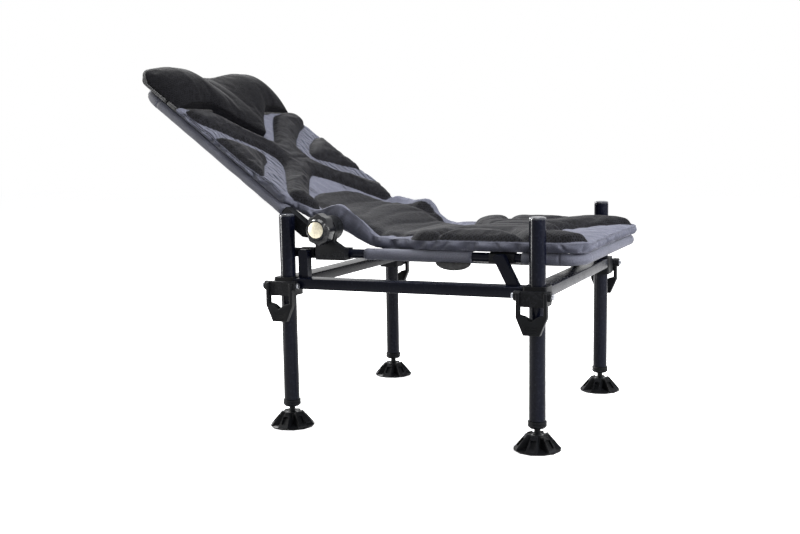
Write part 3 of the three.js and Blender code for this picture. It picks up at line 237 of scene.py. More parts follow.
def revolved(
    name: str, profile: np.ndarray, centre: np.ndarray, axis: np.ndarray, segments: int
) -> bpy.types.Object:
    """Turn a profile of (radius, height) pairs round an axis.

    A point is centre + height * axis + radius * (cos t * e1 + sin t * e2), with t round the axis.

    Args:
        name: Object name.
        profile: Pairs (n, 2) in metres; it starts and ends on the axis or closes on itself.
        centre: Foot of the axis, in metres.
        axis: Unit vector.
        segments: Steps round the axis.

    Returns:
        The closed object.
    """
    axis = np.asarray(axis, float)
    helper = np.array([0.0, 0.0, 1.0]) if abs(axis[2]) < 0.9 else np.array([1.0, 0.0, 0.0])
    e1 = np.cross(helper, axis)
    e1 /= np.linalg.norm(e1)
    e2 = np.cross(axis, e1)
    t = np.linspace(0, 2 * math.pi, segments, endpoint=False)
    ring = np.cos(t)[:, None] * e1 + np.sin(t)[:, None] * e2
    profile = np.asarray(profile, float)
    points = centre + profile[:, None, 1:2] * axis + profile[:, None, 0:1] * ring[None]
    closes = bool(np.allclose(profile[0], profile[-1]))
    if closes:
        points = points[:-1]
    faces = grid_quads(len(points), segments, closes, True)
    obj = new_object(name, points.reshape(-1, 3), faces)
    weld(obj)
    return obj


def swept(name: str, path: np.ndarray, section: np.ndarray, closed: bool = False) -> bpy.types.Object:
    """Carry a flat section along a path with frames that don't twist.

    Each frame's first axis is the last one made square to the path's direction there.

    Args:
        name: Object name.
        path: Points (n, 3) in metres.
        section: Closed outline (m, 2) in metres.
        closed: Whether the path closes on itself.

    Returns:
        The object, with its ends closed.
    """
    path = np.asarray(path, float)
    if closed:
        direction = np.roll(path, -1, 0) - np.roll(path, 1, 0)
    else:
        direction = np.gradient(path, axis=0)
    direction /= np.linalg.norm(direction, axis=1)[:, None]
    first = np.cross(direction[0], [0.0, 0.0, 1.0])
    if np.linalg.norm(first) < 1e-3:
        first = np.array([1.0, 0.0, 0.0])
    sides = []
    for d in direction:
        first = first - (first @ d) * d
        first /= np.linalg.norm(first)
        sides.append(first)
    side = np.array(sides)
    lift = np.cross(direction, side)
    points = path[:, None] + section[None, :, 0:1] * side[:, None] + section[None, :, 1:2] * lift[:, None]
    if not closed:
        caps = [np.broadcast_to(path[k], points[0].shape) for k in (0, -1)]
        points = np.concatenate([caps[0][None], points, caps[1][None]])
    faces = grid_quads(len(points), len(section), closed, True)
    obj = new_object(name, points.reshape(-1, 3), faces)
    weld(obj)
    return obj


def circle(radius: float, segments: int = 24) -> np.ndarray:
    """Outline of a circle as points (segments, 2)."""
    t = np.linspace(0, 2 * math.pi, segments, endpoint=False)
    return radius * np.stack([np.cos(t), np.sin(t)], -1)


def catmull(points: np.ndarray, per_span: int) -> np.ndarray:
    """Smooth curve through points, by the Catmull-Rom cubic of each four neighbours.

    Args:
        points: Points (n, d).
        per_span: Samples in each span.

    Returns:
        Points on the curve.
    """
    p = np.asarray(points, float)
    p = np.concatenate([[2 * p[0] - p[1]], p, [2 * p[-1] - p[-2]]])
    t = np.linspace(0, 1, per_span, endpoint=False)[:, None]
    spans = []
    for a, b, c, d in zip(p[:-3], p[1:-2], p[2:-1], p[3:]):
        square, cube = 2 * a - 5 * b + 4 * c - d, 3 * b - a - 3 * c + d
        spans.append(0.5 * (2 * b + (c - a) * t + square * t**2 + cube * t**3))
    return np.concatenate([*spans, p[-2:-1]])


def smoothstep(value: np.ndarray, low: float, high: float) -> np.ndarray:
    """Rise with level ends: t^2 (3 - 2 t), with t from 0 to 1.

    Args:
        value: Where it is wanted.
        low: Value at which it starts from 0.
        high: Value at which it reaches 1.

    Returns:
        Heights, shaped as value.
    """
    t = np.clip((np.asarray(value, float) - low) / (high - low), 0, 1)
    return t * t * (3 - 2 * t)


def bell(distance: np.ndarray, width: float) -> np.ndarray:
    """Bell of height 1: exp(-(distance / width)^2)."""
    return np.exp(-((distance / width) ** 2))


def dome(share: np.ndarray) -> np.ndarray:
    """Quarter round from 0 to 1: sqrt(1 - (1 - t)^2), with t the share held between 0 and 1."""
    return np.sqrt(1 - (1 - np.clip(share, 0, 1)) ** 2)


def segment_distance(x: np.ndarray, y: np.ndarray, start: np.ndarray, end: np.ndarray) -> np.ndarray:
    """Distance to a straight segment, whose nearest point is start + t * (end - start), t in 0 to 1.

    Args:
        x: Plan coordinate across.
        y: Plan coordinate along.
        start: Its first end.
        end: Its second end.

    Returns:
        Distance, shaped as x.
    """
    (x0, y0), (x1, y1) = start, end
    dx, dy = x1 - x0, y1 - y0
    t = np.clip(((x - x0) * dx + (y - y0) * dy) / (dx * dx + dy * dy), 0, 1)
    return np.hypot(x - x0 - t * dx, y - y0 - t * dy)


def inside_distance(x: np.ndarray, y: np.ndarray, outline: np.ndarray) -> np.ndarray:
    """Distance to a polygon's edge, positive inside and negative outside.

    The nearest point of each edge gives the distance, and edge crossings to one side give the sign.

    Args:
        x: Plan coordinate across.
        y: Plan coordinate along.
        outline: Corners (n, 2).

    Returns:
        Signed distance, shaped as x.
    """
    best = np.full(x.shape, 1e9)
    inside = np.zeros(x.shape, bool)
    for start, end in zip(outline, np.roll(outline, -1, 0)):
        best = np.minimum(best, segment_distance(x, y, start, end))
        (x0, y0), (dx, dy) = start, end - start
        crosses = (y0 > y) != (end[1] > y)
        if dy:
            inside ^= crosses & (x < x0 + (y - y0) * dx / dy)
    return np.where(inside, best, -best)


def line_distance(x: np.ndarray, y: np.ndarray, line: np.ndarray) -> np.ndarray:
    """Distance to an open line.

    Args:
        x: Plan coordinate across.
        y: Plan coordinate along.
        line: Corners (n, 2).

    Returns:
        Distance, shaped as x.
    """
    best = np.full(x.shape, 1e9)
    for start, end in zip(line[:-1], line[1:]):
        best = np.minimum(best, segment_distance(x, y, start, end))
    return best


def outwards(outline: np.ndarray) -> np.ndarray:
    """Unit normals that point out of an outline.

    Args:
        outline: Corners (n, 2), counter-clockwise.

    Returns:
        Normals (n, 2), square to the line between each corner's neighbours.
    """
    tangent = np.roll(outline, -1, 0) - np.roll(outline, 1, 0)
    normal = np.stack([tangent[:, 1], -tangent[:, 0]], -1)
    return normal / np.linalg.norm(normal, axis=1)[:, None]


def wander(seed: int, waves: int, low: float, high: float, *coordinates: np.ndarray) -> np.ndarray:
    """Smooth random height: a sum of sine waves of random direction, phase and length.

    Args:
        seed: Seed of the draw.
        waves: Number of waves.
        low: Shortest wave, in millimetres.
        high: Longest wave, in millimetres.
        coordinates: Arrays of the same shape, in millimetres.

    Returns:
        Heights of about unit size.
    """
    rng = np.random.default_rng(seed)
    total = np.zeros(coordinates[0].shape)
    for _ in range(waves):
        direction = rng.normal(size=len(coordinates))
        direction /= np.linalg.norm(direction)
        length = rng.uniform(low, high)
        phase = rng.uniform(0, 2 * math.pi)
        total += np.sin(sum(c * d for c, d in zip(coordinates, direction)) * 2 * math.pi / length + phase)
    return total / math.sqrt(waves / 2)


# Quilted pads


def pleats(seed: int, walk: np.ndarray, lean: np.ndarray) -> np.ndarray:
    """Sharp folds at odd spacings along a wall, between soft swells.

    Each fold is a bell of its own depth and width, cut in where walk = place + tilt * lean.

    Args:
        seed: Seed of the draw.
        walk: Length along the wall, in millimetres.
        lean: How far the folds lean at each point, in millimetres.

    Returns:
        Heights between about -1 and 0.3.
    """
    rng = np.random.default_rng(seed)
    total = 0.3 * wander(seed, 12, 25, 80, walk, lean)
    place = 0.0
    while place < walk.max():
        place += rng.uniform(16, 52)
        depth, width, tilt = rng.uniform(0.4, 1.0), rng.uniform(2.6, 7.0), rng.uniform(-1.6, 1.6)
        total -= depth * bell(walk - place - tilt * lean, width)
    return total


@dataclass(frozen=True)
class Quilting:
    """How a pad is drawn and filled: spacings in millimetres, share of cloth beyond the flat."""

    step: float = 6.5
    seam_step: float = 5.0
    rim_step: float = 3.2
    base_step: float = 26.0
    wall_rows: int = 7
    travel: float = 6.0
    slack: float = 0.02
    frames: int = 20
    pleat_seed: int = 11
    pleat_lean: float = 14.0
    on_seam: float = 0.3
    wall_uv: float = 1000.0
    base_uv: float = 2000.0


def resampled(line: np.ndarray, step: float, closed: bool) -> np.ndarray:
    """Points along a polyline, its corners kept, no further apart than step.

    Args:
        line: Corners (n, 2).
        step: Longest spacing.
        closed: Whether the last corner joins the first.

    Returns:
        Points (m, 2); a closed line's first point isn't repeated.
    """
    ends = np.roll(line, -1, 0) if closed else line[1:]
    parts = []
    for a, b in zip(line, ends):
        count = max(1, math.ceil(np.hypot(*(b - a)) / step))
        t = np.linspace(0, 1, count, endpoint=False)[:, None]
        parts.append(a + (b - a) * t)
    if not closed:
        parts.append(line[-1:])
    return np.concatenate(parts)


def triangulated(
    outline: np.ndarray, seams: list[np.ndarray], step: float, folds: tuple = ()
) -> tuple[np.ndarray, np.ndarray]:
    """Fill an outline with triangles whose edges follow the seams.

    A hexagonal lattice fills the space between the lines, and a constrained Delaunay
    triangulation joins everything.

    Args:
        outline: Closed boundary (n, 2), as finely sampled as its edge is to be.
        seams: Closed lines (m, 2) inside it.
        step: Lattice spacing.
        folds: Open lines (m, 2) inside it.

    Returns:
        Points (p, 2) and triangles (q, 3) turned counter-clockwise.
    """
    low, high = outline.min(0), outline.max(0)
    rows = np.arange(low[1] + step / 2, high[1], step * math.sqrt(3) / 2)
    columns = np.arange(low[0] - step, high[0] + step, step)
    x, y = np.meshgrid(columns, rows)
    x = x + (np.arange(len(rows)) % 2)[:, None] * step / 2
    lattice = np.stack([x.ravel(), y.ravel()], -1)
    keep = inside_distance(lattice[:, 0], lattice[:, 1], outline) > 0.55 * step
    lattice = lattice[keep]
    for seam in seams:
        lattice = lattice[np.abs(inside_distance(lattice[:, 0], lattice[:, 1], seam)) > 0.55 * step]
    for fold in folds:
        lattice = lattice[line_distance(lattice[:, 0], lattice[:, 1], fold) > 0.55 * step]
    points, edges, first = [lattice], [], len(lattice)
    for number, line in enumerate([outline, *seams, *folds]):
        index = first + np.arange(len(line))
        pairs = list(zip(index.tolist(), np.roll(index, -1).tolist()))
        edges += pairs if number <= len(seams) else pairs[:-1]
        points.append(line)
        first += len(line)
    border = list(range(len(lattice), len(lattice) + len(outline)))
    flat = [Vector(p) for p in np.concatenate(points).tolist()]
    found, _, faces, *_ = delaunay_2d_cdt(flat, edges, [border], 1, 1e-3)
    points = np.array([tuple(v) for v in found])
    triangles = np.array([f for f in faces if len(f) == 3])
    a, b, c = (points[triangles[:, k]] for k in range(3))
    turn = (b[:, 0] - a[:, 0]) * (c[:, 1] - a[:, 1]) - (b[:, 1] - a[:, 1]) * (c[:, 0] - a[:, 0])
    triangles[turn < 0] = triangles[turn < 0][:, ::-1]
    return points, triangles


def border_loop(triangles: np.ndarray) -> np.ndarray:
    """Vertices of a triangulation's border, in order round it.

    Args:
        triangles: Triangles (n, 3), all turned the same way.

    Returns:
        Vertex numbers; the first isn't repeated.
    """
    half = np.concatenate([triangles[:, [0, 1]], triangles[:, [1, 2]], triangles[:, [2, 0]]])
    size = half.max() + 1
    lone = half[~np.isin(half[:, 0] * size + half[:, 1], half[:, 1] * size + half[:, 0])]
    following = dict(zip(lone[:, 0].tolist(), lone[:, 1].tolist()))
    start = int(lone[0, 0])
    loop = [start]
    while following[loop[-1]] != start:
        loop.append(following[loop[-1]])
    return np.array(loop)


@dataclass
class Pad:
    """A closed stuffed shell over a base line that is bent in the Y-Z plane.

    Plan points are (x, s), with s the length along the base line; heights stand square to it.
    """

    name: str
    space: Space
    quilting: Quilting = Quilting()
    line: np.ndarray = field(init=False)
    outline: np.ndarray = field(init=False)
    seams: list[np.ndarray] = field(init=False, default_factory=list)
    folds: list[np.ndarray] = field(init=False, default_factory=list)

    def __post_init__(self) -> None:
        """Measure the base line."""
        steps = np.hypot(*np.diff(self.line, axis=0).T)
        self.lengths = np.concatenate([[0.0], np.cumsum(steps)])
        slope = np.gradient(self.line, self.lengths, axis=0)
        slope /= np.linalg.norm(slope, axis=1)[:, None]
        self.slope = slope

    def place(self, x: np.ndarray, s: np.ndarray, height: np.ndarray) -> np.ndarray:
        """Point over the base line: line(s) + height * normal(s), straight on past its ends.

        Args:
            x: Across, in millimetres.
            s: Along the base line, in millimetres.
            height: Out of the base line, in millimetres.

        Returns:
            Points (n, 3) in the chair's axes.
        """
        inside = np.clip(s, 0, self.lengths[-1])
        over = s - inside
        y, z, dy, dz = (
            np.interp(inside, self.lengths, v)
            for v in (self.line[:, 0], self.line[:, 1], self.slope[:, 0], self.slope[:, 1])
        )
        return np.stack([x, y + over * dy - height * dz, z + over * dz + height * dy], -1)

    def height(self, x: np.ndarray, s: np.ndarray) -> np.ndarray:
        """Height of the top over the base line; each kind of pad gives its own."""
        raise NotImplementedError

    def edge(self, x: np.ndarray, s: np.ndarray) -> tuple[np.ndarray, np.ndarray, np.ndarray]:
        """Bulge, tuck and wrinkle of the wall at border points, in millimetres."""
        raise NotImplementedError

    def masks(self, x: np.ndarray, s: np.ndarray) -> dict[str, tuple[np.ndarray, float]]:
        """Vertex attributes by name: the top's values, and the one value of the wall and the base."""
        raise NotImplementedError

    def build(self) -> bpy.types.Object:
        """Make the shell, blow it up with cloth simulation and give it its attributes.

        The top is the triangulated plan at its heights. The wall has rows that swell by
        bulge * sin(pi t) and draw in by tuck * t^2, with t from 0 at the top to 1 at the base.

        Returns:
            The finished object.
        """
        q = self.quilting
        flat, top_faces = triangulated(self.outline, self.seams, q.step, tuple(self.folds))
        top_height = self.height(flat[:, 0], flat[:, 1])
        loop = border_loop(top_faces)
        rim = flat[loop]
        outward = outwards(rim)
        bulge, tuck, wrinkle = self.edge(rim[:, 0], rim[:, 1])
        walk = np.concatenate([[0.0], np.cumsum(np.hypot(*np.diff(rim, axis=0).T))])
        plan, heights, uvs = [flat], [top_height], [flat]
        for k in range(1, q.wall_rows + 1):
            t = k / q.wall_rows
            swell = math.sin(math.pi * t)
            ripple = wrinkle * swell * pleats(q.pleat_seed, walk, np.full(len(walk), q.pleat_lean * t))
            reach = bulge * swell - tuck * t * t + ripple
            plan.append(rim + outward * reach[:, None])
            heights.append(top_height[loop] * (1 - t))
            uvs.append(np.stack([walk, q.wall_uv + 30 * t + np.zeros(len(walk))], -1))
        base_flat, base_faces = triangulated(plan[-1], [], q.base_step)
        rows = [loop] + [len(flat) + k * len(loop) + np.arange(len(loop)) for k in range(q.wall_rows)]
        first = len(flat) + q.wall_rows * len(loop)
        plan.append(base_flat)
        heights.append(np.zeros(len(base_flat)))
        uvs.append(base_flat + [q.base_uv, 0])
        walls = []
        for above, below in zip(rows[:-1], rows[1:]):
            nxt, low = np.roll(above, -1), np.roll(below, -1)
            walls += [np.stack([above, below, low], -1), np.stack([above, low, nxt], -1)]
        plan_all, height_all = np.concatenate(plan), np.concatenate(heights)
        points = self.place(plan_all[:, 0], plan_all[:, 1], height_all)
        faces = np.concatenate([top_faces, *walls, base_faces[:, ::-1] + first])
        obj = new_object(self.name, self.space.metres(points), faces)
        held = np.zeros(len(points))
        held[first:] = 1
        held[len(flat) : first] = 1
        held[loop] = 1
        for seam in self.seams:
            held[: len(flat)][np.abs(inside_distance(*flat.T, seam)) < q.on_seam] = 1
        for fold in self.folds:
            held[: len(flat)][line_distance(*flat.T, fold) < q.on_seam] = 1
        for name, (values, elsewhere) in self.masks(*flat.T).items():
            full = np.full(len(points), elsewhere)
            full[: len(flat)] = values
            layer = obj.data.attributes.new(name, "FLOAT", "POINT")
            layer.data.foreach_set("value", full.astype(np.float32))
        self.crease(obj, [loop, rows[-1]])
        lay_cloth(obj, np.concatenate(uvs))
        self.inflate(obj, held)
        weld(obj)
        return obj

    def crease(self, obj: bpy.types.Object, rings: list[np.ndarray]) -> None:
        """Keep rings of vertices crisp when the shell is subdivided.

        Args:
            obj: The shell.
            rings: Vertex numbers of each ring, such as the rim's seam.
        """
        ends = np.zeros(2 * len(obj.data.edges), np.int32)
        obj.data.edges.foreach_get("vertices", ends)
        ends = ends.reshape(-1, 2)
        sharp = np.zeros(len(ends), np.float32)
        for ring in rings:
            sharp[np.isin(ends, ring).all(1)] = 0.9
        obj.data.attributes.new("crease_edge", "FLOAT", "EDGE").data.foreach_set("value", sharp)

    def inflate(self, obj: bpy.types.Object, held: np.ndarray) -> None:
        """Blow the shell up as slack cloth sewn down at its seams, and keep the result.

        Args:
            obj: The shell.
            held: 1 for the vertices that stay, 0 for the rest.
        """
        q = self.quilting
        group = obj.vertex_groups.new(name="sewn")
        group.add(np.flatnonzero(held > 0.5).tolist(), 1.0, "REPLACE")
        cloth = obj.modifiers.new("cloth", "CLOTH")
        settings = cloth.settings
        settings.quality = 5
        settings.mass = 0.001
        settings.tension_stiffness = settings.compression_stiffness = 6
        settings.shear_stiffness = 3
        settings.bending_stiffness = 0.05
        settings.air_damping = 2
        settings.vertex_group_mass = group.name
        settings.shrink_min = -q.slack
        settings.use_pressure = True
        settings.uniform_pressure_force = 4
        settings.effector_weights.gravity = 0
        cloth.collision_settings.use_collision = False
        cloth.point_cache.frame_start = 1
        cloth.point_cache.frame_end = q.frames
        before = vertices_of(obj)
        scene = bpy.context.scene
        for frame in range(1, q.frames + 1):
            scene.frame_set(frame)
        evaluated = obj.evaluated_get(bpy.context.evaluated_depsgraph_get())
        mesh = evaluated.to_mesh()
        after = np.zeros(before.size, np.float32)
        mesh.vertices.foreach_get("co", after)
        evaluated.to_mesh_clear()
        moved = after.reshape(-1, 3) - before
        length = np.linalg.norm(moved, axis=1)[:, None]
        limit = q.travel / 1000
        moved *= limit * np.tanh(length / limit) / np.maximum(length, 1e-9)
        log.info("%s moved by up to %.1f mm", obj.name, 1000 * length.max())
        obj.modifiers.remove(cloth)
        obj.vertex_groups.remove(group)
        scene.frame_set(1)
        obj.data.vertices.foreach_set("co", (before + moved).astype(np.float32).ravel())
        obj.data.update()


def vertices_of(obj: bpy.types.Object) -> np.ndarray:
    """Vertex positions of an object's own mesh.

    Args:
        obj: The object.

    Returns:
        Positions (n, 3) in its own space.
    """
    flat = np.zeros(3 * len(obj.data.vertices), np.float32)
    obj.data.vertices.foreach_get("co", flat)
    return flat.reshape(-1, 3)


def mirrored(half: list[tuple[float, float]]) -> np.ndarray:
    """Close a half outline with its mirror image.

    Args:
        half: Points from the middle line round to it again, on the side where x is positive.

    Returns:
        The whole outline (n, 2).
    """
    right = np.array(half, float)
    left = right[right[:, 0] > 0][::-1] * [-1, 1]
    return np.concatenate([right, left])


def rounded(outline: np.ndarray, radius: float, per_corner: int = 5) -> np.ndarray:
    """Round an outline's corners with quadratic curves.

    Args:
        outline: Corners (n, 2).
        radius: Length taken off each side of a corner, at most 0.45 of the side.
        per_corner: Points on each curve.

    Returns:
        The smoother outline.
    """
    before, after = np.roll(outline, 1, 0), np.roll(outline, -1, 0)
    points = []
    for p, a, b in zip(outline, before, after):
        to_a, to_b = a - p, b - p
        la, lb = np.hypot(*to_a), np.hypot(*to_b)
        start = p + to_a / la * min(radius, 0.45 * la)
        end = p + to_b / lb * min(radius, 0.45 * lb)
        t = np.linspace(0, 1, per_corner)[:, None]
        points.append((1 - t) ** 2 * start + 2 * t * (1 - t) * p + t * t * end)
    return np.concatenate(points)


@dataclass
class Mattress(Pad):
    """The quilted cushion of seat and back in one: air mesh bolsters on grey cloth."""

    half_width: float = 230.0
    waist_half: float = 203.5
    seat_front: float = -338.0
    seat_rear: float = 60.0
    base_z: float = 353.3
    back_start: float = 95.0
    back_v: float = -23.3
    top_line: tuple = ((0.0, 322.0), (52.0, 370.0), (110.0, 411.0), (140.0, 414.0), (229.0, 408.0))
    corner: float = 30.0
    seat_sag: float = 6.0
    hinge_sag: float = 16.0
    back_sag: float = 12.0
    edge_rise: float = 3.0
    edge_reach: float = 16.0
    edge_drop: float = 2.0
    seam_depth: float = 2.2
    seam_width: float = 5.0
    lug_rise: float = 22.0
    lug_place: float = -20.0
    lug_width: float = 46.0
    crease_depth: float = 2.5
    ripple_depth: float = 0.8
    hem_height: float = 2.4
    cord_radius: float = 1.7
    # Rise and reach of the cushion, the tear, the arms and the two side panels.
    swell: tuple = ((15, 32), (6, 62), (15, 32), (11, 34), (11, 34))

    def __post_init__(self) -> None:
        """Draw the base line, the outline and the panels."""
        fold_y = [self.seat_rear, 95.0, 147.0, 185.0, 222.0]
        fold_z = [self.base_z, 361.0, 388.0, 402.0, 412.0]
        start = from_back(self.back_start, self.back_v)
        fold = catmull(np.array([*zip(fold_y, fold_z), start]), 12)
        ends = (self.back_start + 6, self.top_line[-1][1] + 30)
        top = np.array([from_back(u, self.back_v) for u in ends])
        self.line = np.concatenate([[[self.seat_front, self.base_z]], fold, top])
        steps = np.hypot(*np.diff(self.line[: len(fold) + 1], axis=0).T)
        self.back_s = float(steps.sum()) - self.back_start
        super().__post_init__()
        self.draw_outline()
        self.draw_panels()

    def place(self, x: np.ndarray, s: np.ndarray, height: np.ndarray) -> np.ndarray:
        """Point over the base line, let down by the sag of the stretched cloth below."""
        return super().place(x, s, height - self.sag(x, s))

    def sag(self, x: np.ndarray, s: np.ndarray) -> np.ndarray:
        """Sag across, depth * (1 - (x / half width)^2), deepest at the hinge.

        Args:
            x: Across, in millimetres.
            s: Along the base line, in millimetres.

        Returns:
            How far the base is let down, in millimetres.
        """
        u = s - self.back_s
        depth = self.seat_sag * smoothstep(s, 0, 90) + self.hinge_sag * smoothstep(s, 330, 470)
        depth -= self.seat_sag + self.hinge_sag - self.back_sag * (1 - smoothstep(u, 390, 480))
        depth += (self.seat_sag + self.hinge_sag - self.back_sag) * (1 - smoothstep(u, 40, 160))
        return depth * np.clip(1 - (x / self.half_width) ** 2, 0, None)

    def half_at(self, s: np.ndarray) -> np.ndarray:
        """Half width of the mattress, waisted where the hinges stand.

        Args:
            s: Along the base line, in millimetres.

        Returns:
            Half widths, shaped as s.
        """
        seat_end = self.seat_rear - self.seat_front
        into = smoothstep(s, seat_end - 120, seat_end)
        out = smoothstep(s, self.back_s + self.back_start + 1, self.back_s + self.back_start + 16)
        return self.half_width - (self.half_width - self.waist_half) * (into - out)

    def draw_outline(self) -> None:
        """Trace one side of the border from the front's middle to the V under the headrest."""
        corner = self.corner
        turn = np.linspace(0, math.pi / 2, 7)
        x_front = self.half_width - corner + corner * np.sin(turn)
        s_front = corner - corner * np.cos(turn) + 4 * (1 - np.sin(turn))
        top = self.top_line[-1][1] + self.back_s
        s_side = np.arange(corner + 12, top - 10, 9.0)
        side = np.stack([self.half_at(s_side), s_side], -1)
        half = [(0.0, 9.0), (110.0, 5.0), *zip(x_front, s_front), *side.tolist()]
        half = np.array(half + [(x, u + self.back_s) for x, u in self.top_line[::-1]])
        left = half[1:-1][::-1] * [-1, 1]
        self.outline = resampled(np.concatenate([half, left]), self.quilting.rim_step, True)

    def seat(self, half: list[tuple[float, float]]) -> np.ndarray:
        """Seat outline in (|x|, Y) to plan coordinates."""
        return np.array([(x, y - self.seat_front) for x, y in half], float)

    def back(self, half: list[tuple[float, float]]) -> np.ndarray:
        """Back outline in (|x|, u) to plan coordinates."""
        return np.array([(x, u + self.back_s) for x, u in half], float)

    def draw_panels(self) -> None:
        """Lay out the air mesh panels, as measured on the photographed chair."""
        cushion = self.seat([
            (0, -203), (44, -214), (134, -258), (188, -324), (204, -327), (220, -308), (227, -290),
            (227.5, -236), (227.5, -120), (227.5, -30), (226, -4), (205, 14), (160, 14), (95, -12),
            (28, -52), (0, -64),
        ])
        wedge = self.seat([
            (228, -232), (214, -206), (162, -166), (143, -148), (137, -112), (141, -84), (158, -66),
            (228, -46),
        ])
        low = self.seat([(0, -50), (20, -40), (60, -16), (86, 4), (130, 36), (162, 66), (182, 100)])
        high = self.back([
            (190, -46), (184, -10), (166, 24), (142, 62), (120, 94), (100, 108), (56, 118), (0, 120),
        ])
        tear = np.concatenate([low, high])
        arms = self.back([
            (0, 289), (14, 300), (67, 340), (116, 378), (147, 397), (196, 402), (221, 394), (226, 376),
            (222, 352), (200, 343), (172, 334), (116, 304), (74, 274), (58, 245), (64, 222), (92, 197),
            (150, 158), (208, 118), (212, 108), (202, 92), (200, 72), (188, 54), (160, 55), (150, 84),
            (122, 112), (80, 138), (40, 162), (0, 180),
        ])
        side = self.back([
            (226, 306), (196, 302), (150, 284), (116, 262), (104, 246), (112, 234), (150, 218), (226, 172),
        ])
        whole = [rounded(mirrored(h.tolist()), 12) for h in (cushion, tear, arms)]
        single = [rounded(side, 12), rounded(side * [-1, 1], 12)]
        self.seams = [resampled(p, self.quilting.seam_step, True) for p in whole + single]
        curve = catmull(wedge, 5)
        self.folds = [resampled(curve * [k, 1], self.quilting.seam_step, False) for k in (1, -1)]
        self.draw_valleys()

    def draw_valleys(self) -> None:
        """Lay out the soft creases of the seat's hub and of the lumbar panel: line, depth and width."""
        hub = [self.seat(h) for h in (
            [(24, -52), (58, -84), (66, -120), (50, -204)],
            [(96, -14), (112, -70), (128, -96)],
            [(0, -70), (6, -130), (0, -198)],
        )]
        across = []
        for k, u in enumerate((-112, -74, -36, 6, 48)):
            lean = 12 * math.sin(1.7 * k)
            line = [(-176, u - 16), (-90, u + lean), (10, u + 16), (96, u + 10 - lean), (172, u - 12)]
            across.append(self.back(line))
        self.valleys = [(catmull(h * [k, 1], 6), 3.2, 6.0) for h in hub for k in (1, -1)]
        self.valleys += [(catmull(h, 6), 2.0 + 0.5 * (k % 2), 7.0) for k, h in enumerate(across)]

    def height(self, x: np.ndarray, s: np.ndarray) -> np.ndarray:
        """Base thickness, and over each panel rise * dome(d / reach), d from its seam.

        Args:
            x: Across, in millimetres.
            s: Along the base line, in millimetres.

        Returns:
            Heights, in millimetres.
        """
        seat_end = self.seat_rear - self.seat_front
        lumbar = self.back_s + self.back_start
        at = [0, 60, seat_end, lumbar - 20, lumbar + 60, lumbar + 130, 1100]
        base = np.interp(s, at, [20, 21, 22, 20, 18, 13, 12])
        border = np.clip(inside_distance(x, s, self.outline), 0, None)
        total = base + self.edge_rise * dome(border / self.edge_reach) - self.edge_drop
        fold = np.minimum(*(line_distance(x, s, line) for line in self.folds))
        nearest = fold.copy()
        for k, (seam, (rise, reach)) in enumerate(zip(self.seams, self.swell)):
            d = inside_distance(x, s, seam)
            nearest = np.minimum(nearest, np.abs(d))
            d = np.minimum(d, fold + 0.6) if k == 0 else d
            total += rise * dome(d / reach)
        total -= self.seam_depth * bell(nearest, self.seam_width)
        for line, depth, width in self.valleys:
            total -= depth * bell(line_distance(x, s, line), width)
        lug = bell(s - self.back_s - self.lug_place, self.lug_width) * smoothstep(np.abs(x), 168, 196)
        total += self.lug_rise * lug
        flap = smoothstep(np.abs(x), 150, 176) * smoothstep(s, seat_end - 30, seat_end + 10)
        flap *= 1 - smoothstep(s, lumbar - 50, lumbar)
        creases = wander(5, 14, 26, 80, x, 0.7 * s)
        plain = smoothstep(nearest, 4, 14) * (self.panel_distance(x, s) < 0)
        ripples = plain * wander(8, 16, 18, 60, x, s)
        return total + flap * (self.crease_depth * creases) + self.ripple_depth * ripples

    def piping(self) -> bpy.types.Object:
        """Make the corded seam round the bottom of the wall.

        Returns:
            The cord.
        """
        line = self.outline
        tuck = self.edge(line[:, 0], line[:, 1])[1]
        line = line + outwards(line) * (0.8 - tuck)[:, None]
        path = self.place(line[:, 0], line[:, 1], np.full(len(line), self.hem_height))
        ring = circle(self.cord_radius / 1000, 8)
        return swept("mattress_piping", self.space.metres(path), ring, True)

    def panel_distance(self, x: np.ndarray, s: np.ndarray) -> np.ndarray:
        """Signed distance to the edge of the nearest air mesh panel, positive on the mesh."""
        return np.max([inside_distance(x, s, seam) for seam in self.seams], axis=0)

    def edge(self, x: np.ndarray, s: np.ndarray) -> tuple[np.ndarray, np.ndarray, np.ndarray]:
        """Wall shape: full on the seat, flat against the headrest.

        Args:
            x: Across, in millimetres.
            s: Along the base line, in millimetres.

        Returns:
            Bulge, tuck and wrinkle, in millimetres.
        """
        foot = np.interp(np.abs(x), *zip(*self.top_line))
        under = smoothstep(s - self.back_s, foot - 8, foot - 1) * (np.abs(x) < self.half_width - 3)
        free = 1 - under
        return 4.5 * free, 4.0 * free, 6.4 * free

    def masks(self, x: np.ndarray, s: np.ndarray) -> dict[str, tuple[np.ndarray, float]]:
        """Signed distance to the air mesh, and where the cloth is ribbed.

        Args:
            x: Across, in millimetres.
            s: Along the base line, in millimetres.

        Returns:
            Values of the top by name, and the one value elsewhere.
        """
        u = s - self.back_s
        aside = smoothstep(np.abs(x), 60, 74) * smoothstep(u, 118, 128)
        ribs = aside * (u < 262 + 0.56 * np.abs(x))
        return {"panel": (self.panel_distance(x, s), -20.0), "ribs": (ribs, 0.0)}


# Materials


SMOOTH = {"interpolation_type": "SMOOTHSTEP"}
COLOURS = {"data_type": "RGBA", "output": 2}
# Over a pitch in millimetres, this is the radians in a metre.
PITCH_TO_RADIANS = 2000 * math.pi


def linear(hex_code: str) -> tuple[float, float, float, float]:
    """Linear RGBA of an sRGB hex colour.

    Args:
        hex_code: Colour as "#rrggbb".

    Returns:
        Red, green and blue, and 1.
    """
    parts = np.array([int(hex_code[i : i + 2], 16) for i in (1, 3, 5)]) / 255
    low, high = parts / 12.92, ((parts + 0.055) / 1.055) ** 2.4
    return (*np.where(parts <= 0.04045, low, high).tolist(), 1.0)


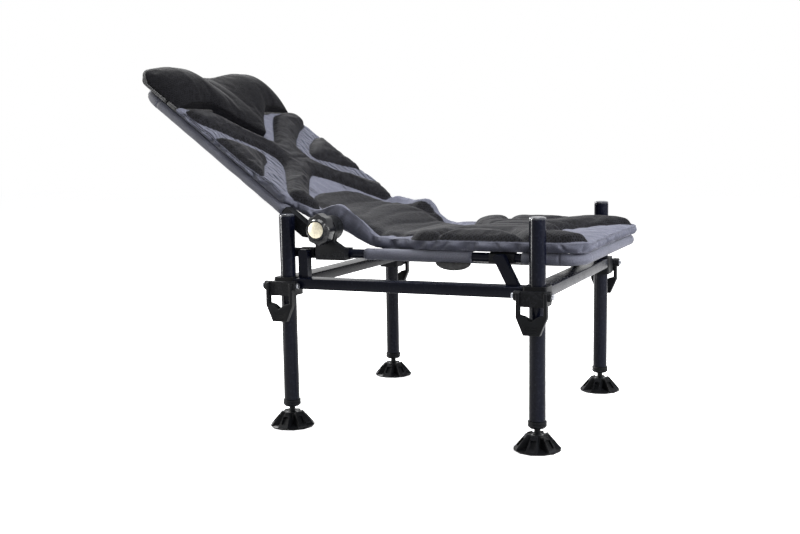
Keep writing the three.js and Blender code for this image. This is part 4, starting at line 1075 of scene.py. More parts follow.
class Nodes:
    """A node tree, with the one function that adds to it."""

    def __init__(self, tree: bpy.types.NodeTree) -> None:
        """Empty the tree.

        Args:
            tree: Tree of a material or of the world.
        """
        self.tree = tree
        self.tree.nodes.clear()

    def add(
        self, kind: str, *values: object,
        inputs: dict | None = None, output: int | str = 0, **settings: object,
    ) -> bpy.types.NodeSocket | None:
        """Add a node with its settings, values and links.

        Args:
            kind: Type of node, less the prefix that all have.
            values: Values or sockets for its first inputs.
            inputs: Values or sockets for others, by name or number.
            output: Name or number of the output that is wanted.
            settings: The node's own properties.

        Returns:
            That output, or nothing where the node has none.
        """
        node = self.tree.nodes.new("ShaderNode" + kind)
        for name, value in settings.items():
            setattr(node, name, value)
        for key, value in {**dict(enumerate(values)), **(inputs or {})}.items():
            if isinstance(value, bpy.types.NodeSocket):
                self.tree.links.new(value, node.inputs[key])
            else:
                node.inputs[key].default_value = value
        return node.outputs[output] if node.outputs else None

    def shown(self) -> bpy.types.NodeSocket:
        """Tell the rays that see the background: straight, in a mirror or through glass.

        Returns:
            1 on those rays and 0 on the others.
        """
        path = self.add("LightPath").node.outputs
        ray = path["Is Camera Ray"]
        for kind in ("Is Glossy Ray", "Is Transmission Ray"):
            ray = self.add("Math", ray, path[kind], operation="MAXIMUM")
        return ray


class Surface(Nodes):
    """A material's nodes, with the patterns that the finishes share."""

    def __init__(self, name: str, uv: bool = False) -> None:
        """Start a material.

        Args:
            name: Material name.
            uv: Whether patterns follow the cloth's UV map instead of the object.
        """
        self.material = bpy.data.materials.new(name)
        self.material.use_nodes = True
        super().__init__(self.material.node_tree)
        self.shader = self.add("BsdfPrincipled").node
        self.add("OutputMaterial", self.shader.outputs[0])
        self.where = self.add("UVMap", uv_map="cloth") if uv else self.add("TexCoord", output="Object")

    def set(self, **inputs: object) -> None:
        """Set the shader's inputs.

        Args:
            inputs: Values or sockets by input name, with underscores for spaces.
        """
        for name, value in inputs.items():
            socket = self.shader.inputs[name.replace("_", " ")]
            if isinstance(value, bpy.types.NodeSocket):
                self.tree.links.new(value, socket)
            else:
                socket.default_value = value

    def noise(self, size: float, detail: float = 3.0, stretch: tuple = (1, 1, 1)) -> bpy.types.NodeSocket:
        """Noise of a given size.

        Args:
            size: About how large its features are, in millimetres.
            detail: Octaves of finer noise in it.
            stretch: Factor on the size along each axis.

        Returns:
            The noise, mostly between 0.3 and 0.7.
        """
        where = self.add("Mapping", self.where, inputs={"Scale": [1000 / size / k for k in stretch]})
        return self.add("TexNoise", inputs={"Vector": where, "Scale": 1.0, "Detail": detail})

    def wave(self, direction: tuple[float, float], pitch: float) -> bpy.types.NodeSocket:
        """Cosine wave across the plan: cos(2 pi (x dx + y dy) / pitch).

        Args:
            direction: Unit vector (dx, dy) that it runs along.
            pitch: Its length, in millimetres.

        Returns:
            The wave, between -1 and 1.
        """
        parts = self.add("SeparateXYZ", self.where).node.outputs
        k = PITCH_TO_RADIANS / pitch
        shares = [self.add("Math", parts[i], k * direction[i], operation="MULTIPLY") for i in (0, 1)]
        return self.add("Math", self.add("Math", *shares, operation="ADD"), operation="COSINE")

    def wear(
        self, edge: float, size: float, detail: float, patches: tuple[float, float], share: float
    ) -> bpy.types.NodeSocket:
        """Rubbed places on raised edges, broken up into patches.

        Args:
            edge: Pointiness from which an edge is rubbed; flat is 0.5.
            size: Size of the patches, in millimetres.
            detail: Octaves of finer noise in their outlines.
            patches: Noise at which a patch starts and at which it is full.
            share: How much shows at most.

        Returns:
            How much shows.
        """
        raised = self.add("MapRange", self.add("NewGeometry", output="Pointiness"), edge, 0.6, **SMOOTH)
        broken = self.add("MapRange", self.noise(size, detail), *patches, **SMOOTH)
        both = self.add("Math", raised, broken, operation="MULTIPLY")
        return self.add("Math", both, share, operation="MULTIPLY")

    def tinted(self, colour: object, *layers: tuple[object, object]) -> bpy.types.NodeSocket:
        """Lay colours over each other.

        Args:
            colour: Linear colour or socket at the bottom.
            layers: Share of each layer and its colour, as sRGB hex, linear RGBA or a socket.

        Returns:
            The colour that shows.
        """
        for share, over in layers:
            over = linear(over) if isinstance(over, str) else over
            colour = self.add("Mix", inputs={0: share, 6: colour, 7: over}, **COLOURS)
        return colour

    def relief(
        self, *layers: tuple[bpy.types.NodeSocket, float], below: bpy.types.NodeSocket | None = None
    ) -> bpy.types.NodeSocket:
        """Lay reliefs over each other.

        Args:
            layers: Height of each layer and its depth in millimetres, the lowest first.
            below: Normal that they lie on, where it isn't the surface's own.

        Returns:
            The normal.
        """
        for height, depth in layers:
            inputs = {"Height": height, "Distance": depth / 1000}
            below = self.add("Bump", inputs=inputs if below is None else {**inputs, "Normal": below})
        return below


@dataclass(frozen=True)
class Finish:
    """A surface finish; each kind builds its own node tree once."""

    name: str
    colour: str
    roughness: float

    def build(self) -> bpy.types.Material:
        """Make the material."""
        raise NotImplementedError

    def material(self) -> bpy.types.Material:
        """The finish's material, made at its first use."""
        return bpy.data.materials.get(self.name) or self.build()


@dataclass(frozen=True)
class PowderCoat(Finish):
    """Baked powder paint on steel: faint orange peel, dust in the gloss and rubbed edges."""

    peel: float = 3.0
    peel_depth: float = 0.008
    cloudy: str = "#0f1220"
    rubbed: str = "#2b2e3a"

    def build(self) -> bpy.types.Material:
        """Make the material.

        Returns:
            The material.
        """
        n = Surface(self.name)
        cloud = n.noise(45, 4)
        dust = n.add("MapRange", cloud, 0.35, 0.7, 0, 0.35, **SMOOTH)
        dull = n.add("MapRange", cloud, 0.3, 0.7, self.roughness, self.roughness + 0.09, **SMOOTH)
        scuff = n.wear(0.53, 5, 5, (0.5, 0.68), 0.5)
        colour = n.tinted(linear(self.colour), (dust, self.cloudy), (scuff, self.rubbed))
        n.set(Base_Color=colour, Metallic=0.0, Roughness=dull, Specular_IOR_Level=0.06)
        n.set(Coat_Weight=0.06, Coat_Roughness=0.06)
        n.set(Normal=n.relief((n.noise(self.peel, 1), self.peel_depth)))
        return n.material


@dataclass(frozen=True)
class MouldedNylon(Finish):
    """Glass filled nylon with a spark eroded grain and paler rubbed corners."""

    grain: float = 0.7
    depth: float = 0.05
    coat: float = 0.0
    streaks: str = "#1b1c20"
    rubbed: str = "#45464c"

    def build(self) -> bpy.types.Material:
        """Make the material.

        Returns:
            The material.
        """
        n = Surface(self.name)
        flow = n.noise(28, 4)
        pale = n.add("MapRange", flow, 0.3, 0.75, 0, 0.4, **SMOOTH)
        dull = n.add("MapRange", flow, 0.3, 0.7, self.roughness, self.roughness + 0.12, **SMOOTH)
        worn = n.wear(0.52, 4, 4, (0.42, 0.7), 0.35)
        colour = n.tinted(linear(self.colour), (pale, self.streaks), (worn, self.rubbed))
        n.set(Base_Color=colour, Roughness=dull, Specular_IOR_Level=0.08)
        n.set(Coat_Weight=self.coat, Coat_Roughness=0.15)
        n.set(Normal=n.relief((n.noise(6, 2), 0.06), (n.noise(self.grain, 3), self.depth)))
        return n.material


@dataclass(frozen=True)
class PlatedSteel(Finish):
    """Zinc plated steel with turned marks and a cloudy film."""

    filmed: str = "#7d7f86"

    def build(self) -> bpy.types.Material:
        """Make the material.

        Returns:
            The material.
        """
        n = Surface(self.name)
        film = n.noise(3.5, 4)
        cloudy = n.add("MapRange", film, 0.35, 0.7, **SMOOTH)
        dull = n.add("MapRange", film, 0.3, 0.7, self.roughness, self.roughness + 0.15, **SMOOTH)
        n.set(Base_Color=n.tinted(linear(self.colour), (cloudy, self.filmed)), Metallic=1.0, Roughness=dull)
        n.set(Normal=n.relief((n.noise(0.35, 2), 0.02)))
        return n.material


@dataclass(frozen=True)
class SpunDisc(Finish):
    """Anodised disc turned in a lathe: rings about the X axis through its middle."""

    middle: tuple[float, float] = (0.0, 0.0)
    # A lathe's rings lie closer than this; they are drawn as coarse as they need to show.
    ring_pitch: float = 0.55
    soiled: str = "#8f8874"

    def build(self) -> bpy.types.Material:
        """Make the material.

        Returns:
            The material.
        """
        n = Surface(self.name)
        parts = n.add("SeparateXYZ", n.where).node.outputs
        sides = [n.add("Math", parts[k + 1], self.middle[k], operation="SUBTRACT") for k in (0, 1)]
        squares = [n.add("Math", side, side, operation="MULTIPLY") for side in sides]
        radius = n.add("Math", n.add("Math", *squares, operation="ADD"), operation="SQRT")
        turns = n.add("Math", radius, PITCH_TO_RADIANS / self.ring_pitch, operation="MULTIPLY")
        rings = n.add("Math", turns, operation="SINE")
        soil = n.add("MapRange", n.noise(4, 4), 0.4, 0.72, 0, 0.5, **SMOOTH)
        dull = n.add("MapRange", rings, -1, 1, self.roughness, self.roughness + 0.12, **SMOOTH)
        n.set(Base_Color=n.tinted(linear(self.colour), (soil, self.soiled)), Metallic=0.75, Roughness=dull)
        n.set(Normal=n.relief((n.noise(2, 2), 0.02), (rings, 0.006)))
        return n.material


@dataclass(frozen=True)
class WovenCloth(Finish):
    """Coated oxford weave with fine creases."""

    # Real threads are about 0.4 mm; they are drawn as coarse as they need to show.
    thread: float = 0.9
    crease: float = 0.5
    uv: bool = True
    pale: str = "#777988"
    gaps: str = "#3d3f4a"
    faded: str = "#50525e"

    def weave(self, n: Surface) -> tuple[bpy.types.NodeSocket, bpy.types.NodeSocket]:
        """Colour and normal of the weave.

        Args:
            n: Tree to add it to.

        Returns:
            Colour and normal sockets.
        """
        warp, weft = n.wave((1, 0), self.thread), n.wave((0, 1), self.thread)
        threads = n.add("Math", warp, weft, operation="MULTIPLY")
        melange = n.add("MapRange", n.noise(1.6, 3), 0.3, 0.7, **SMOOTH)
        between = n.add("MapRange", threads, -1, 1, 0.25, 0, **SMOOTH)
        fade = n.add("MapRange", n.noise(60, 3), 0.35, 0.7, 0, 0.3, **SMOOTH)
        layers = ((melange, self.pale), (between, self.gaps), (fade, self.faded))
        soft = n.noise(16, 3, (1, 2.4, 1))
        normal = n.relief((soft, self.crease * 2.2), (n.noise(5, 3), self.crease * 0.5), (threads, 0.03))
        return n.tinted(linear(self.colour), *layers), normal

    def build(self) -> bpy.types.Material:
        """Make the material.

        Returns:
            The material.
        """
        n = Surface(self.name, self.uv)
        colour, normal = self.weave(n)
        n.set(Base_Color=colour, Normal=normal, Roughness=self.roughness)
        n.set(Sheen_Weight=0.12, Sheen_Roughness=0.45, Specular_IOR_Level=0.35)
        return n.material


@dataclass(frozen=True)
class AirMesh(Finish):
    """Warp knitted spacer mesh: a honeycomb of dark eyes in matt thread."""

    # Real eyes are about 2 mm apart; they are drawn as coarse as they need to show.
    pitch: float = 4.2
    light: str = "#25252a"
    eye: str = "#030304"
    uv: bool = True

    def knit(self, n: Surface) -> tuple[bpy.types.NodeSocket, bpy.types.NodeSocket]:
        """Colour and normal of the knit; three waves 60 degrees apart make the honeycomb.

        Args:
            n: Tree to add it to.

        Returns:
            Colour and normal sockets.
        """
        turns = [math.radians(a) for a in (30, 90, 150)]
        waves = [n.wave((math.cos(a), math.sin(a)), self.pitch) for a in turns]
        eyes = n.add("Math", n.add("Math", *waves[:2], operation="ADD"), waves[2], operation="ADD")
        open_eye = n.add("MapRange", eyes, 0.2, 1.5, **SMOOTH)
        yarn = n.add("MapRange", n.noise(9, 3), 0.2, 0.8, **SMOOTH)
        sunk = n.add("Math", open_eye, -1, operation="MULTIPLY")
        colour = n.tinted(linear(self.colour), (yarn, self.light), (open_eye, self.eye))
        return colour, n.relief((n.noise(22, 3), 1.2), (sunk, 0.5))

    def build(self) -> bpy.types.Material:
        """Make the material.

        Returns:
            The material.
        """
        n = Surface(self.name, self.uv)
        colour, normal = self.knit(n)
        n.set(Base_Color=colour, Normal=normal, Roughness=self.roughness)
        n.set(Sheen_Weight=0.04, Sheen_Roughness=0.4, Specular_IOR_Level=0.06)
        return n.material


@dataclass(frozen=True)
class QuiltedCloth(Finish):
    """Mesh panels sewn on woven cloth, told apart by the pad's attributes; the ribbed cloth has painted
    shade in its valleys.
    """

    cloth: WovenCloth = WovenCloth("grey_oxford", "#5d5f6b", 0.78)
    mesh: AirMesh = AirMesh("black_air_mesh", "#0f0f12", 0.85)
    rib_pitch: float = 26.0
    rib_depth: float = 4.5
    # Painted shade: the colour laid in the valleys between the ribs of the ribbed cloth.
    painted_rib_shade: str = "#2b2d37"
    seam: str = "#0d0d0f"

    def build(self) -> bpy.types.Material:
        """Make the material.

        Returns:
            The material.
        """
        n = Surface(self.name, True)
        panel, ribbed = (n.add("Attribute", attribute_name=a, output="Fac") for a in ("panel", "ribs"))
        inside = n.add("MapRange", panel, -0.5, 0.5, **SMOOTH)
        beside = n.add("Math", panel, operation="ABSOLUTE")
        stitch = n.add("MapRange", beside, 0.3, 2.2, 1, 0, **SMOOTH)
        stitches = n.add("Math", stitch, 0.65, operation="MULTIPLY")
        cloth_colour, cloth_normal = self.cloth.weave(n)
        mesh_colour, mesh_normal = self.mesh.knit(n)
        wave = n.add("Math", n.wave((1, 0), self.rib_pitch), operation="ABSOLUTE")
        crest = n.add("Math", wave, 0.6, operation="POWER")
        ridge = n.add("Math", crest, ribbed, operation="MULTIPLY")
        # Painted shade: the ribbed cloth is drawn darker in the valleys between its ribs.
        low = n.add("MapRange", wave, 0.0, 0.6, 0.95, 0, **SMOOTH)
        valley_shade = n.add("Math", low, ribbed, operation="MULTIPLY")
        cloth_normal = n.relief((ridge, self.rib_depth), below=cloth_normal)
        sides = {0: inside, 4: cloth_normal, 5: mesh_normal}
        layers = ((valley_shade, self.painted_rib_shade), (inside, mesh_colour), (stitches, self.seam))
        n.set(Base_Color=n.tinted(cloth_colour, *layers), Roughness=self.roughness)
        n.set(Normal=n.add("Mix", inputs=sides, data_type="VECTOR", output=1))
        n.set(Sheen_Weight=0.07, Sheen_Roughness=0.24, Specular_IOR_Level=0.1)
        return n.material


@dataclass(frozen=True)
class Webbing(Finish):
    """Black ribbed tape, as used for bindings and the tab."""

    rib: float = 1.6
    grooves: str = "#0b0b0c"

    def build(self) -> bpy.types.Material:
        """Make the material.

        Returns:
            The material.
        """
        n = Surface(self.name)
        parts = n.add("SeparateXYZ", n.where).node.outputs
        plane = n.add("Math", parts[0], parts[1], operation="ADD")
        along = n.add("Math", plane, parts[2], operation="ADD")
        turns = n.add("Math", along, PITCH_TO_RADIANS / self.rib, operation="MULTIPLY")
        rib = n.add("Math", turns, operation="COSINE")
        crest = n.add("MapRange", rib, -1, 1, **SMOOTH)
        dull = n.add("MapRange", n.noise(6, 3), 0.3, 0.7, self.roughness, 0.9, **SMOOTH)
        n.set(Base_Color=n.tinted(linear(self.grooves), (crest, self.colour)), Roughness=dull)
        n.set(Normal=n.relief((n.noise(9, 2), 0.5), (rib, 0.18)), Sheen_Weight=0.2, Sheen_Roughness=0.4)
        return n.material


# Steel tube that looks nearly black, with a thin cold sheen along its edges.
PAINT = PowderCoat("navy_black_powder_coat", "#090c1a", 0.2)
# Matt black mouldings that look dry and a little dusty beside the paint.
NYLON = MouldedNylon("moulded_nylon", "#0c0d0f", 0.4)
# Smooth plugs and cups with a clear highlight, their black nylon drawn a shade paler than the legs as a
# painted highlight.
CAP_NYLON_PAINTED_HIGHLIGHT = MouldedNylon("gloss_nylon_cap_painted_highlight", "#343741", 0.34, 0.9, 0.015, 1.0)
# Knobs as smooth as the plugs but blacker, so that the pale disc stands out.
KNOB_NYLON = MouldedNylon("gloss_nylon_knob", "#0f1014", 0.34, 0.9, 0.015, 0.5)
# Bolt heads that catch the light as small bright points with a milky film.
ZINC = PlatedSteel("zinc_plated_steel", "#a9abb0", 0.28)
# Sheets of cool grey cloth with a visible weave and soft ripples.
OXFORD = WovenCloth("grey_oxford_cloth", "#5d5f6b", 0.78)
# The same grey cloth where it turns round a bend, so that no seam shows in its tone.
CORNER = WovenCloth("grey_oxford_sleeve", "#5d5f6b", 0.78, uv=False)
# Cord a shade darker than the cloth, to draw the cushion's lower edge.
CORD = WovenCloth("grey_piping", "#4a4c57", 0.8, uv=False)
# Grey cloth with black mesh bolsters sewn on it and dark stitched seams between, and painted shade in the
# valleys of its ribbed parts.
QUILT = QuiltedCloth("quilted_cloth_and_mesh", "#5d5f6b", 0.8)
# Mesh that swallows light, drawn a little darker than the cushion's mesh as painted shade on the pillow,
# its eyes just seen, so that the pillow looks soft and deep.
MESH = AirMesh("headrest_air_mesh_painted_shade", "#0d0d10", 0.85, light="#1b1b1f")
# Tape whose ribs give the pillow's edge and the tab a fine dull line.
TAPE = Webbing("black_webbing", "#1d1d1f", 0.7)


def coat(obj: bpy.types.Object, finish: Finish) -> bpy.types.Object:
    """Give an object one finish.

    Args:
        obj: The object.
        finish: Its surface.

    Returns:
        The same object.
    """
    obj.data.materials.clear()
    obj.data.materials.append(finish.material())
    return obj


# Stage


class Seen(Enum):
    """Surfaces that a light reaches."""

    MATT = "matt"
    GLOSSY = "glossy"


@dataclass
class Stage:
    """Pale floor and backdrop, soft boxes and the camera of the photograph."""

    space: Space
    focal: float = 1074.16
    picture: tuple[float, float] = (800.0, 534.0)
    centre: tuple[float, float] = (401.6, 286.8)
    eye: tuple[float, float, float] = (-2069.9, -770.6, 550.8)
    yaw: float = 0.40556
    pitch: float = 0.13299
    roll: float = -0.015745

    def camera(self) -> None:
        """Place the camera: yaw from +X to +Y, pitch down, then roll about the view."""
        forward = np.array([
            math.cos(self.pitch) * math.cos(self.yaw),
            math.cos(self.pitch) * math.sin(self.yaw),
            -math.sin(self.pitch),
        ])
        level = np.array([math.sin(self.yaw), -math.cos(self.yaw), 0.0])
        lift = np.cross(level, forward)
        right = math.cos(self.roll) * level + math.sin(self.roll) * lift
        up = np.cross(right, forward)
        data = bpy.data.cameras.new("camera")
        data.sensor_width = 36.0
        data.lens = self.focal / self.picture[0] * data.sensor_width
        data.shift_x = (self.picture[0] / 2 - self.centre[0]) / self.picture[0]
        data.shift_y = (self.centre[1] - self.picture[1] / 2) / self.picture[0]
        data.clip_start = 0.05
        obj = bpy.data.objects.new("camera", data)
        matrix = np.eye(4)
        matrix[:3, 0], matrix[:3, 1], matrix[:3, 2] = right, up, -forward
        matrix[:3, 3] = self.space.metres(np.array(self.eye))
        obj.matrix_world = Matrix(matrix.tolist())
        bpy.context.scene.collection.objects.link(obj)
        bpy.context.scene.camera = obj

    def floor(self) -> None:
        """Lay a wide floor that shows white to the camera but keeps the shadows."""
        half = 9.0
        corners = np.array([[-half, -half, 0], [half, -half, 0], [half, half, 0], [-half, half, 0]])
        obj = new_object("floor", corners, np.array([[0, 1, 2, 3]]), False)
        n = Surface("studio_floor")
        grain = n.add("MapRange", n.noise(900, 2), 0.3, 0.7, **SMOOTH)
        ray = n.shown()
        seen = n.tinted((0.86, 0.86, 0.87, 1), (grain, (0.9, 0.9, 0.9, 1)))
        n.set(Base_Color=n.tinted((0.2, 0.2, 0.21, 1), (ray, seen)), Roughness=0.9)
        n.set(Specular_IOR_Level=0.0, Emission_Color=(1, 1, 1, 1))
        n.set(Emission_Strength=n.add("Math", ray, 0.8, operation="MULTIPLY"))
        obj.data.materials.append(n.material)
        obj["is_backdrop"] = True

    def world(self) -> None:
        """White where it is seen, dimmer as a light."""
        world = bpy.data.worlds.new("studio")
        world.use_nodes = True
        n = Nodes(world.node_tree)
        strength = n.add("MapRange", n.shown(), inputs={3: 0.22, 4: 1.0})
        n.add("OutputWorld", n.add("Background", (1, 1, 1, 1), strength))
        bpy.context.scene.world = world

    def light(
        self, name: str, place: tuple, aim: tuple, size: tuple, watts: float, seen: Seen | None = None
    ) -> None:
        """Hang a soft box.

        Args:
            name: Light name.
            place: Its middle, in metres.
            aim: What it points at, in metres.
            size: Width and height, in metres.
            watts: Power.
            seen: Which surfaces it lights, all where not given.
        """
        data = bpy.data.lights.new(name, "AREA")
        data.shape = "RECTANGLE"
        data.size, data.size_y = size
        data.energy = watts
        obj = bpy.data.objects.new(name, data)
        obj.location = place
        obj.rotation_euler = (Vector(aim) - Vector(place)).to_track_quat("-Z", "Y").to_euler()
        obj.visible_camera = False
        obj.visible_diffuse = seen is not Seen.GLOSSY
        obj.visible_glossy = seen is not Seen.MATT
        bpy.context.scene.collection.objects.link(obj)

    def build(self) -> None:
        """Set the whole stage."""
        self.camera()
        self.floor()
        self.world()
        middle = (0.0, 0.0, 0.35)
        self.light("top_box", (0.3, -0.2, 2.6), middle, (1.3, 1.3), 44)
        self.light("front_box", (-0.3, -2.6, 1.3), middle, (0.8, 1.6), 80)
        self.light("rim_box", (1.6, 1.9, 2.2), middle, (1.0, 1.4), 140)
        self.light("fill_box", (-2.0, -1.7, 1.1), middle, (1.2, 1.2), 13, Seen.MATT)
        self.light("left_strip", (-1.1, 2.5, 0.9), middle, (0.4, 2.4), 230, Seen.GLOSSY)
        scene = bpy.context.scene
        scene.view_settings.view_transform = "Standard"


@dataclass
class Measures:
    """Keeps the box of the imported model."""

    packed: list[list[float]] = field(default_factory=list)

    def start(self) -> None:
        """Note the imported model's box."""
        self.packed = [list(map(float, corner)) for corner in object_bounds()]

    def write(self) -> None:
        """Does nothing."""


# Rigid parts


def copied(
    name: str, nodes: list[bpy.types.Object], bevel: float = 0.8, sharp: float = 35.0
) -> bpy.types.Object:
    """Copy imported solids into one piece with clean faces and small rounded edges.

    Args:
        name: Name of the piece.
        nodes: Solids to copy.
        bevel: Width of the rounded edges, in millimetres.
        sharp: Edges that turn more than this many degrees are rounded.

    Returns:
        The piece.
    """
    bm = bmesh.new()
    for node in nodes:
        bm.from_mesh(node.data)
    bmesh.ops.remove_doubles(bm, verts=bm.verts, dist=2e-5)
    bmesh.ops.dissolve_degenerate(bm, edges=bm.edges, dist=1e-5)
    bmesh.ops.dissolve_limit(bm, angle_limit=math.radians(2), verts=bm.verts, edges=bm.edges)
    mesh = bpy.data.meshes.new(name)
    bm.to_mesh(mesh)
    bm.free()
    mesh.polygons.foreach_set("use_smooth", np.ones(len(mesh.polygons), bool))
    mesh.set_sharp_from_angle(angle=math.radians(sharp))
    obj = bpy.data.objects.new(name, mesh)
    bpy.context.scene.collection.objects.link(obj)
    if bevel:
        edges = obj.modifiers.new("edges", "BEVEL")
        edges.width = bevel / 1000
        edges.segments = 2
        edges.limit_method = "ANGLE"
        edges.angle_limit = math.radians(sharp)
        edges.harden_normals = True
    return obj


@dataclass
class Maker:
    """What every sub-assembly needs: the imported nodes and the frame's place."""

    nodes: dict[str, bpy.types.Object]
    space: Space

    def stand_in(
        self, obj: bpy.types.Object, names: list[str], body: str, finish: Finish, slot: str
    ) -> None:
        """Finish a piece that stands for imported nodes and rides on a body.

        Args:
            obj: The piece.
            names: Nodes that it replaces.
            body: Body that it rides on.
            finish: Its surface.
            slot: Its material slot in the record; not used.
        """
        coat(obj, finish)
        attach(obj, body)
        if names:
            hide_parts(*names)
        log.info("%s: %s, on %s", obj.name, finish.name, body)

    def dress(self, where: str, *rows: tuple[str, str, str, Finish, str, float]) -> None:
        """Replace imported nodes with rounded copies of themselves.

        Args:
            where: End of the names of the pieces and of their nodes, such as "_left".
            rows: Name, node, body, finish, slot and bevel in millimetres of each.
        """
        for name, node, body, finish, slot, bevel in rows:
            node += where
            piece = copied(name + where, [self.nodes[node]], bevel)
            self.stand_in(piece, [node], body, finish, slot)


@dataclass
class Corners:
    """The four legs with their feet, collars and cam levers."""

    make: Maker
    leg_radius: float = 15.0
    bore_wall: float = 1.8
    ball_radius: float = 9.5
    ball_height: float = 23.0
    neck_radius: float = 5.7
    ferrule_radius: float = 17.0

    def build(self) -> None:
        """Make all four corners."""
        for end in ("front", "rear"):
            for side in ("left", "right"):
                self.corner(f"{end}_{side}")

    def corner(self, where: str) -> None:
        """Make one corner.

        Args:
            where: The corner's part of the nodes' names.
        """
        low, high = (np.array(c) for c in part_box(f"leg_tube_{where}"))
        foot = np.array([*(low[:2] + high[:2]) / 2, 0.0])
        self.leg(where, foot, low[2], high[2])
        self.stud(where, foot, low[2])
        self.make.dress(
            f"_{where}",
            ("cam_lever", "lever", f"lever_{where}", NYLON, "moulding", 1.0),
            ("corner_collar", "collar", Body.BASE.value, NYLON, "moulding", 1.0),
            ("lever_pin", "lever_bolt", Body.BASE.value, ZINC, "bolt_steel", 0.6),
            ("mud_foot", "foot", f"foot_{where}", NYLON, "moulding", 1.0),
            ("ball_cup", "foot_cup", f"foot_cup_{where}", CAP_NYLON_PAINTED_HIGHLIGHT, "cap_moulding", 0.3),
        )

    def leg(self, where: str, foot: np.ndarray, low: float, high: float) -> None:
        """Turn the leg tube and its domed cap.

        Args:
            where: Corner.
            foot: Point on the leg's axis at the floor, in metres.
            low: Bottom of the tube.
            high: Top of the tube.
        """
        r = self.leg_radius / 1000
        inner = r - self.bore_wall / 1000
        edge = 0.0004
        tube = [(inner, low), (r - edge, low), (r, low + edge), (r, high - edge), (r - edge, high)]
        tube += [(inner, high), (inner, low)]
        self.turned("leg", "leg_tube", where, tube, foot, PAINT, "painted_steel")
        bottom, top = (c[2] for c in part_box(f"leg_cap_{where}"))
        turn = np.linspace(0, math.pi / 2, 10)
        gap, chamfer, rim, groove = 0.0003, 0.0006, 0.0026, 0.0004
        plug, start = inner - gap, high + gap
        dome_foot = start + rim + chamfer
        dome_rise = top - dome_foot
        crown = [(r * math.cos(a), dome_foot + dome_rise * math.sin(a)) for a in turn[:-1]]
        cap = [(0, bottom), (plug, bottom), (plug, start), (r - chamfer, start), (r, start + chamfer)]
        cap += [(r, start + rim), (r - groove, start + rim + groove), *crown[1:], (0, top)]
        self.turned("leg_plug", "leg_cap", where, cap, foot, CAP_NYLON_PAINTED_HIGHLIGHT, "cap_moulding")

    def stud(self, where: str, foot: np.ndarray, tube_low: float) -> None:
        """Turn the ferrule, neck and ball.

        Args:
            where: Corner.
            foot: Point on the leg's axis at the floor, in metres.
            tube_low: Bottom of the leg tube.
        """
        ball, centre = self.ball_radius / 1000, self.ball_height / 1000
        neck, wide = self.neck_radius / 1000, self.ferrule_radius / 1000
        turn = np.linspace(-math.pi / 2, math.acos(neck / ball), 14)
        profile = [(ball * math.cos(a), centre + ball * math.sin(a)) for a in turn]
        profile[0] = (0, centre - ball)
        bottom = tube_low - 0.013
        profile += [(neck, bottom - 0.0012), (neck + 0.0012, bottom), (wide - 0.0032, bottom)]
        groove = wide - 0.0007
        profile += [(wide, bottom + 0.0032), (wide, tube_low - 0.0062), (groove, tube_low - 0.0056)]
        profile += [(groove, tube_low - 0.0047), (wide, tube_low - 0.0041), (wide, tube_low - 0.0008)]
        gap = 0.0003
        plug = self.leg_radius / 1000 - self.bore_wall / 1000 - gap
        profile += [(wide - 0.0006, tube_low - gap), (plug, tube_low - gap)]
        profile += [(plug, tube_low + 0.022), (0, tube_low + 0.022)]
        self.turned("ball_stud_piece", "ball_stud", where, profile, foot, NYLON, "moulding", 56)

    def turned(
        self, name: str, node: str, where: str, profile: list, foot: np.ndarray,
        finish: Finish, slot: str, segments: int = 72,
    ) -> None:
        """Turn a piece of the leg round the leg's axis.

        Args:
            name: Name of the piece, less the corner.
            node: Node that it replaces, less the corner.
            where: Corner.
            profile: Pairs of radius and height, in metres.
            foot: Point on the axis at the floor, in metres.
            finish: Its surface.
            slot: Its material slot in the record.
            segments: Steps round the axis.
        """
        up = np.array([0, 0, 1.0])
        piece = revolved(f"{name}_{where}", np.array(profile), foot, up, segments)
        sharpen(piece)
        self.make.stand_in(piece, [f"{node}_{where}"], f"leg_{where}", finish, slot)


def sharpen(obj: bpy.types.Object, degrees: float = 32.0) -> None:
    """Mark an object's edges that turn more than so many degrees as sharp."""
    obj.data.set_sharp_from_angle(angle=math.radians(degrees))


@dataclass
class Frames:
    """Rails of the base and the bent round tubes of seat and back."""

    make: Maker
    tube_radius: float = 9.0
    tube_x: float = 221.0
    bend: float = 34.0
    seat_z: float = 342.0
    seat_front: float = -322.0
    seat_rear: float = 262.0
    back_v: float = -34.6
    back_start: float = 40.0
    back_top: float = 491.0

    def build(self) -> None:
        """Make rails and tubes."""
        for name in ("front_rail", "rear_rail", "side_rail_left", "side_rail_right"):
            rail = copied(f"{name}_painted", [self.make.nodes[name]], 1.2)
            self.make.stand_in(rail, [name], Body.BASE.value, PAINT, "painted_steel")
        seat = [(y, self.seat_z) for y in (self.seat_rear, self.seat_front)]
        back = [from_back(u, self.back_v) for u in (self.back_start, self.back_top)]
        self.tube("seat_tube", seat, "seat_frame_tube", Body.BASE)
        self.tube("back_tube", back, "back_frame_tube", Body.BACK)

    def tube(self, name: str, ends: list, node: str, body: Body) -> None:
        """Bend a U of tube from its open ends round its cross part.

        Args:
            name: Piece name.
            ends: (Y, Z) of the open ends and of the cross part.
            node: Node that it replaces.
            body: Body that it rides on.
        """
        start, end = (np.array(e, float) for e in ends)
        length = np.hypot(*(end - start))
        toward = (end - start) / length
        turn = np.linspace(0, math.pi / 2, 12)
        inner = self.tube_x - self.bend
        x = inner + self.bend * np.cos(turn)
        along = length - self.bend + self.bend * np.sin(turn)
        half = np.concatenate([[(self.tube_x, 0.0)], np.stack([x, along], -1)])
        plan = np.concatenate([half, half[::-1] * [-1, 1]])
        path = np.concatenate([plan[:, :1], start + plan[:, 1:] * toward], 1)
        obj = swept(name, self.make.space.metres(path), circle(self.tube_radius / 1000, 40))
        sharpen(obj, 50)
        self.make.stand_in(obj, [node], body.value, PAINT, "painted_steel")


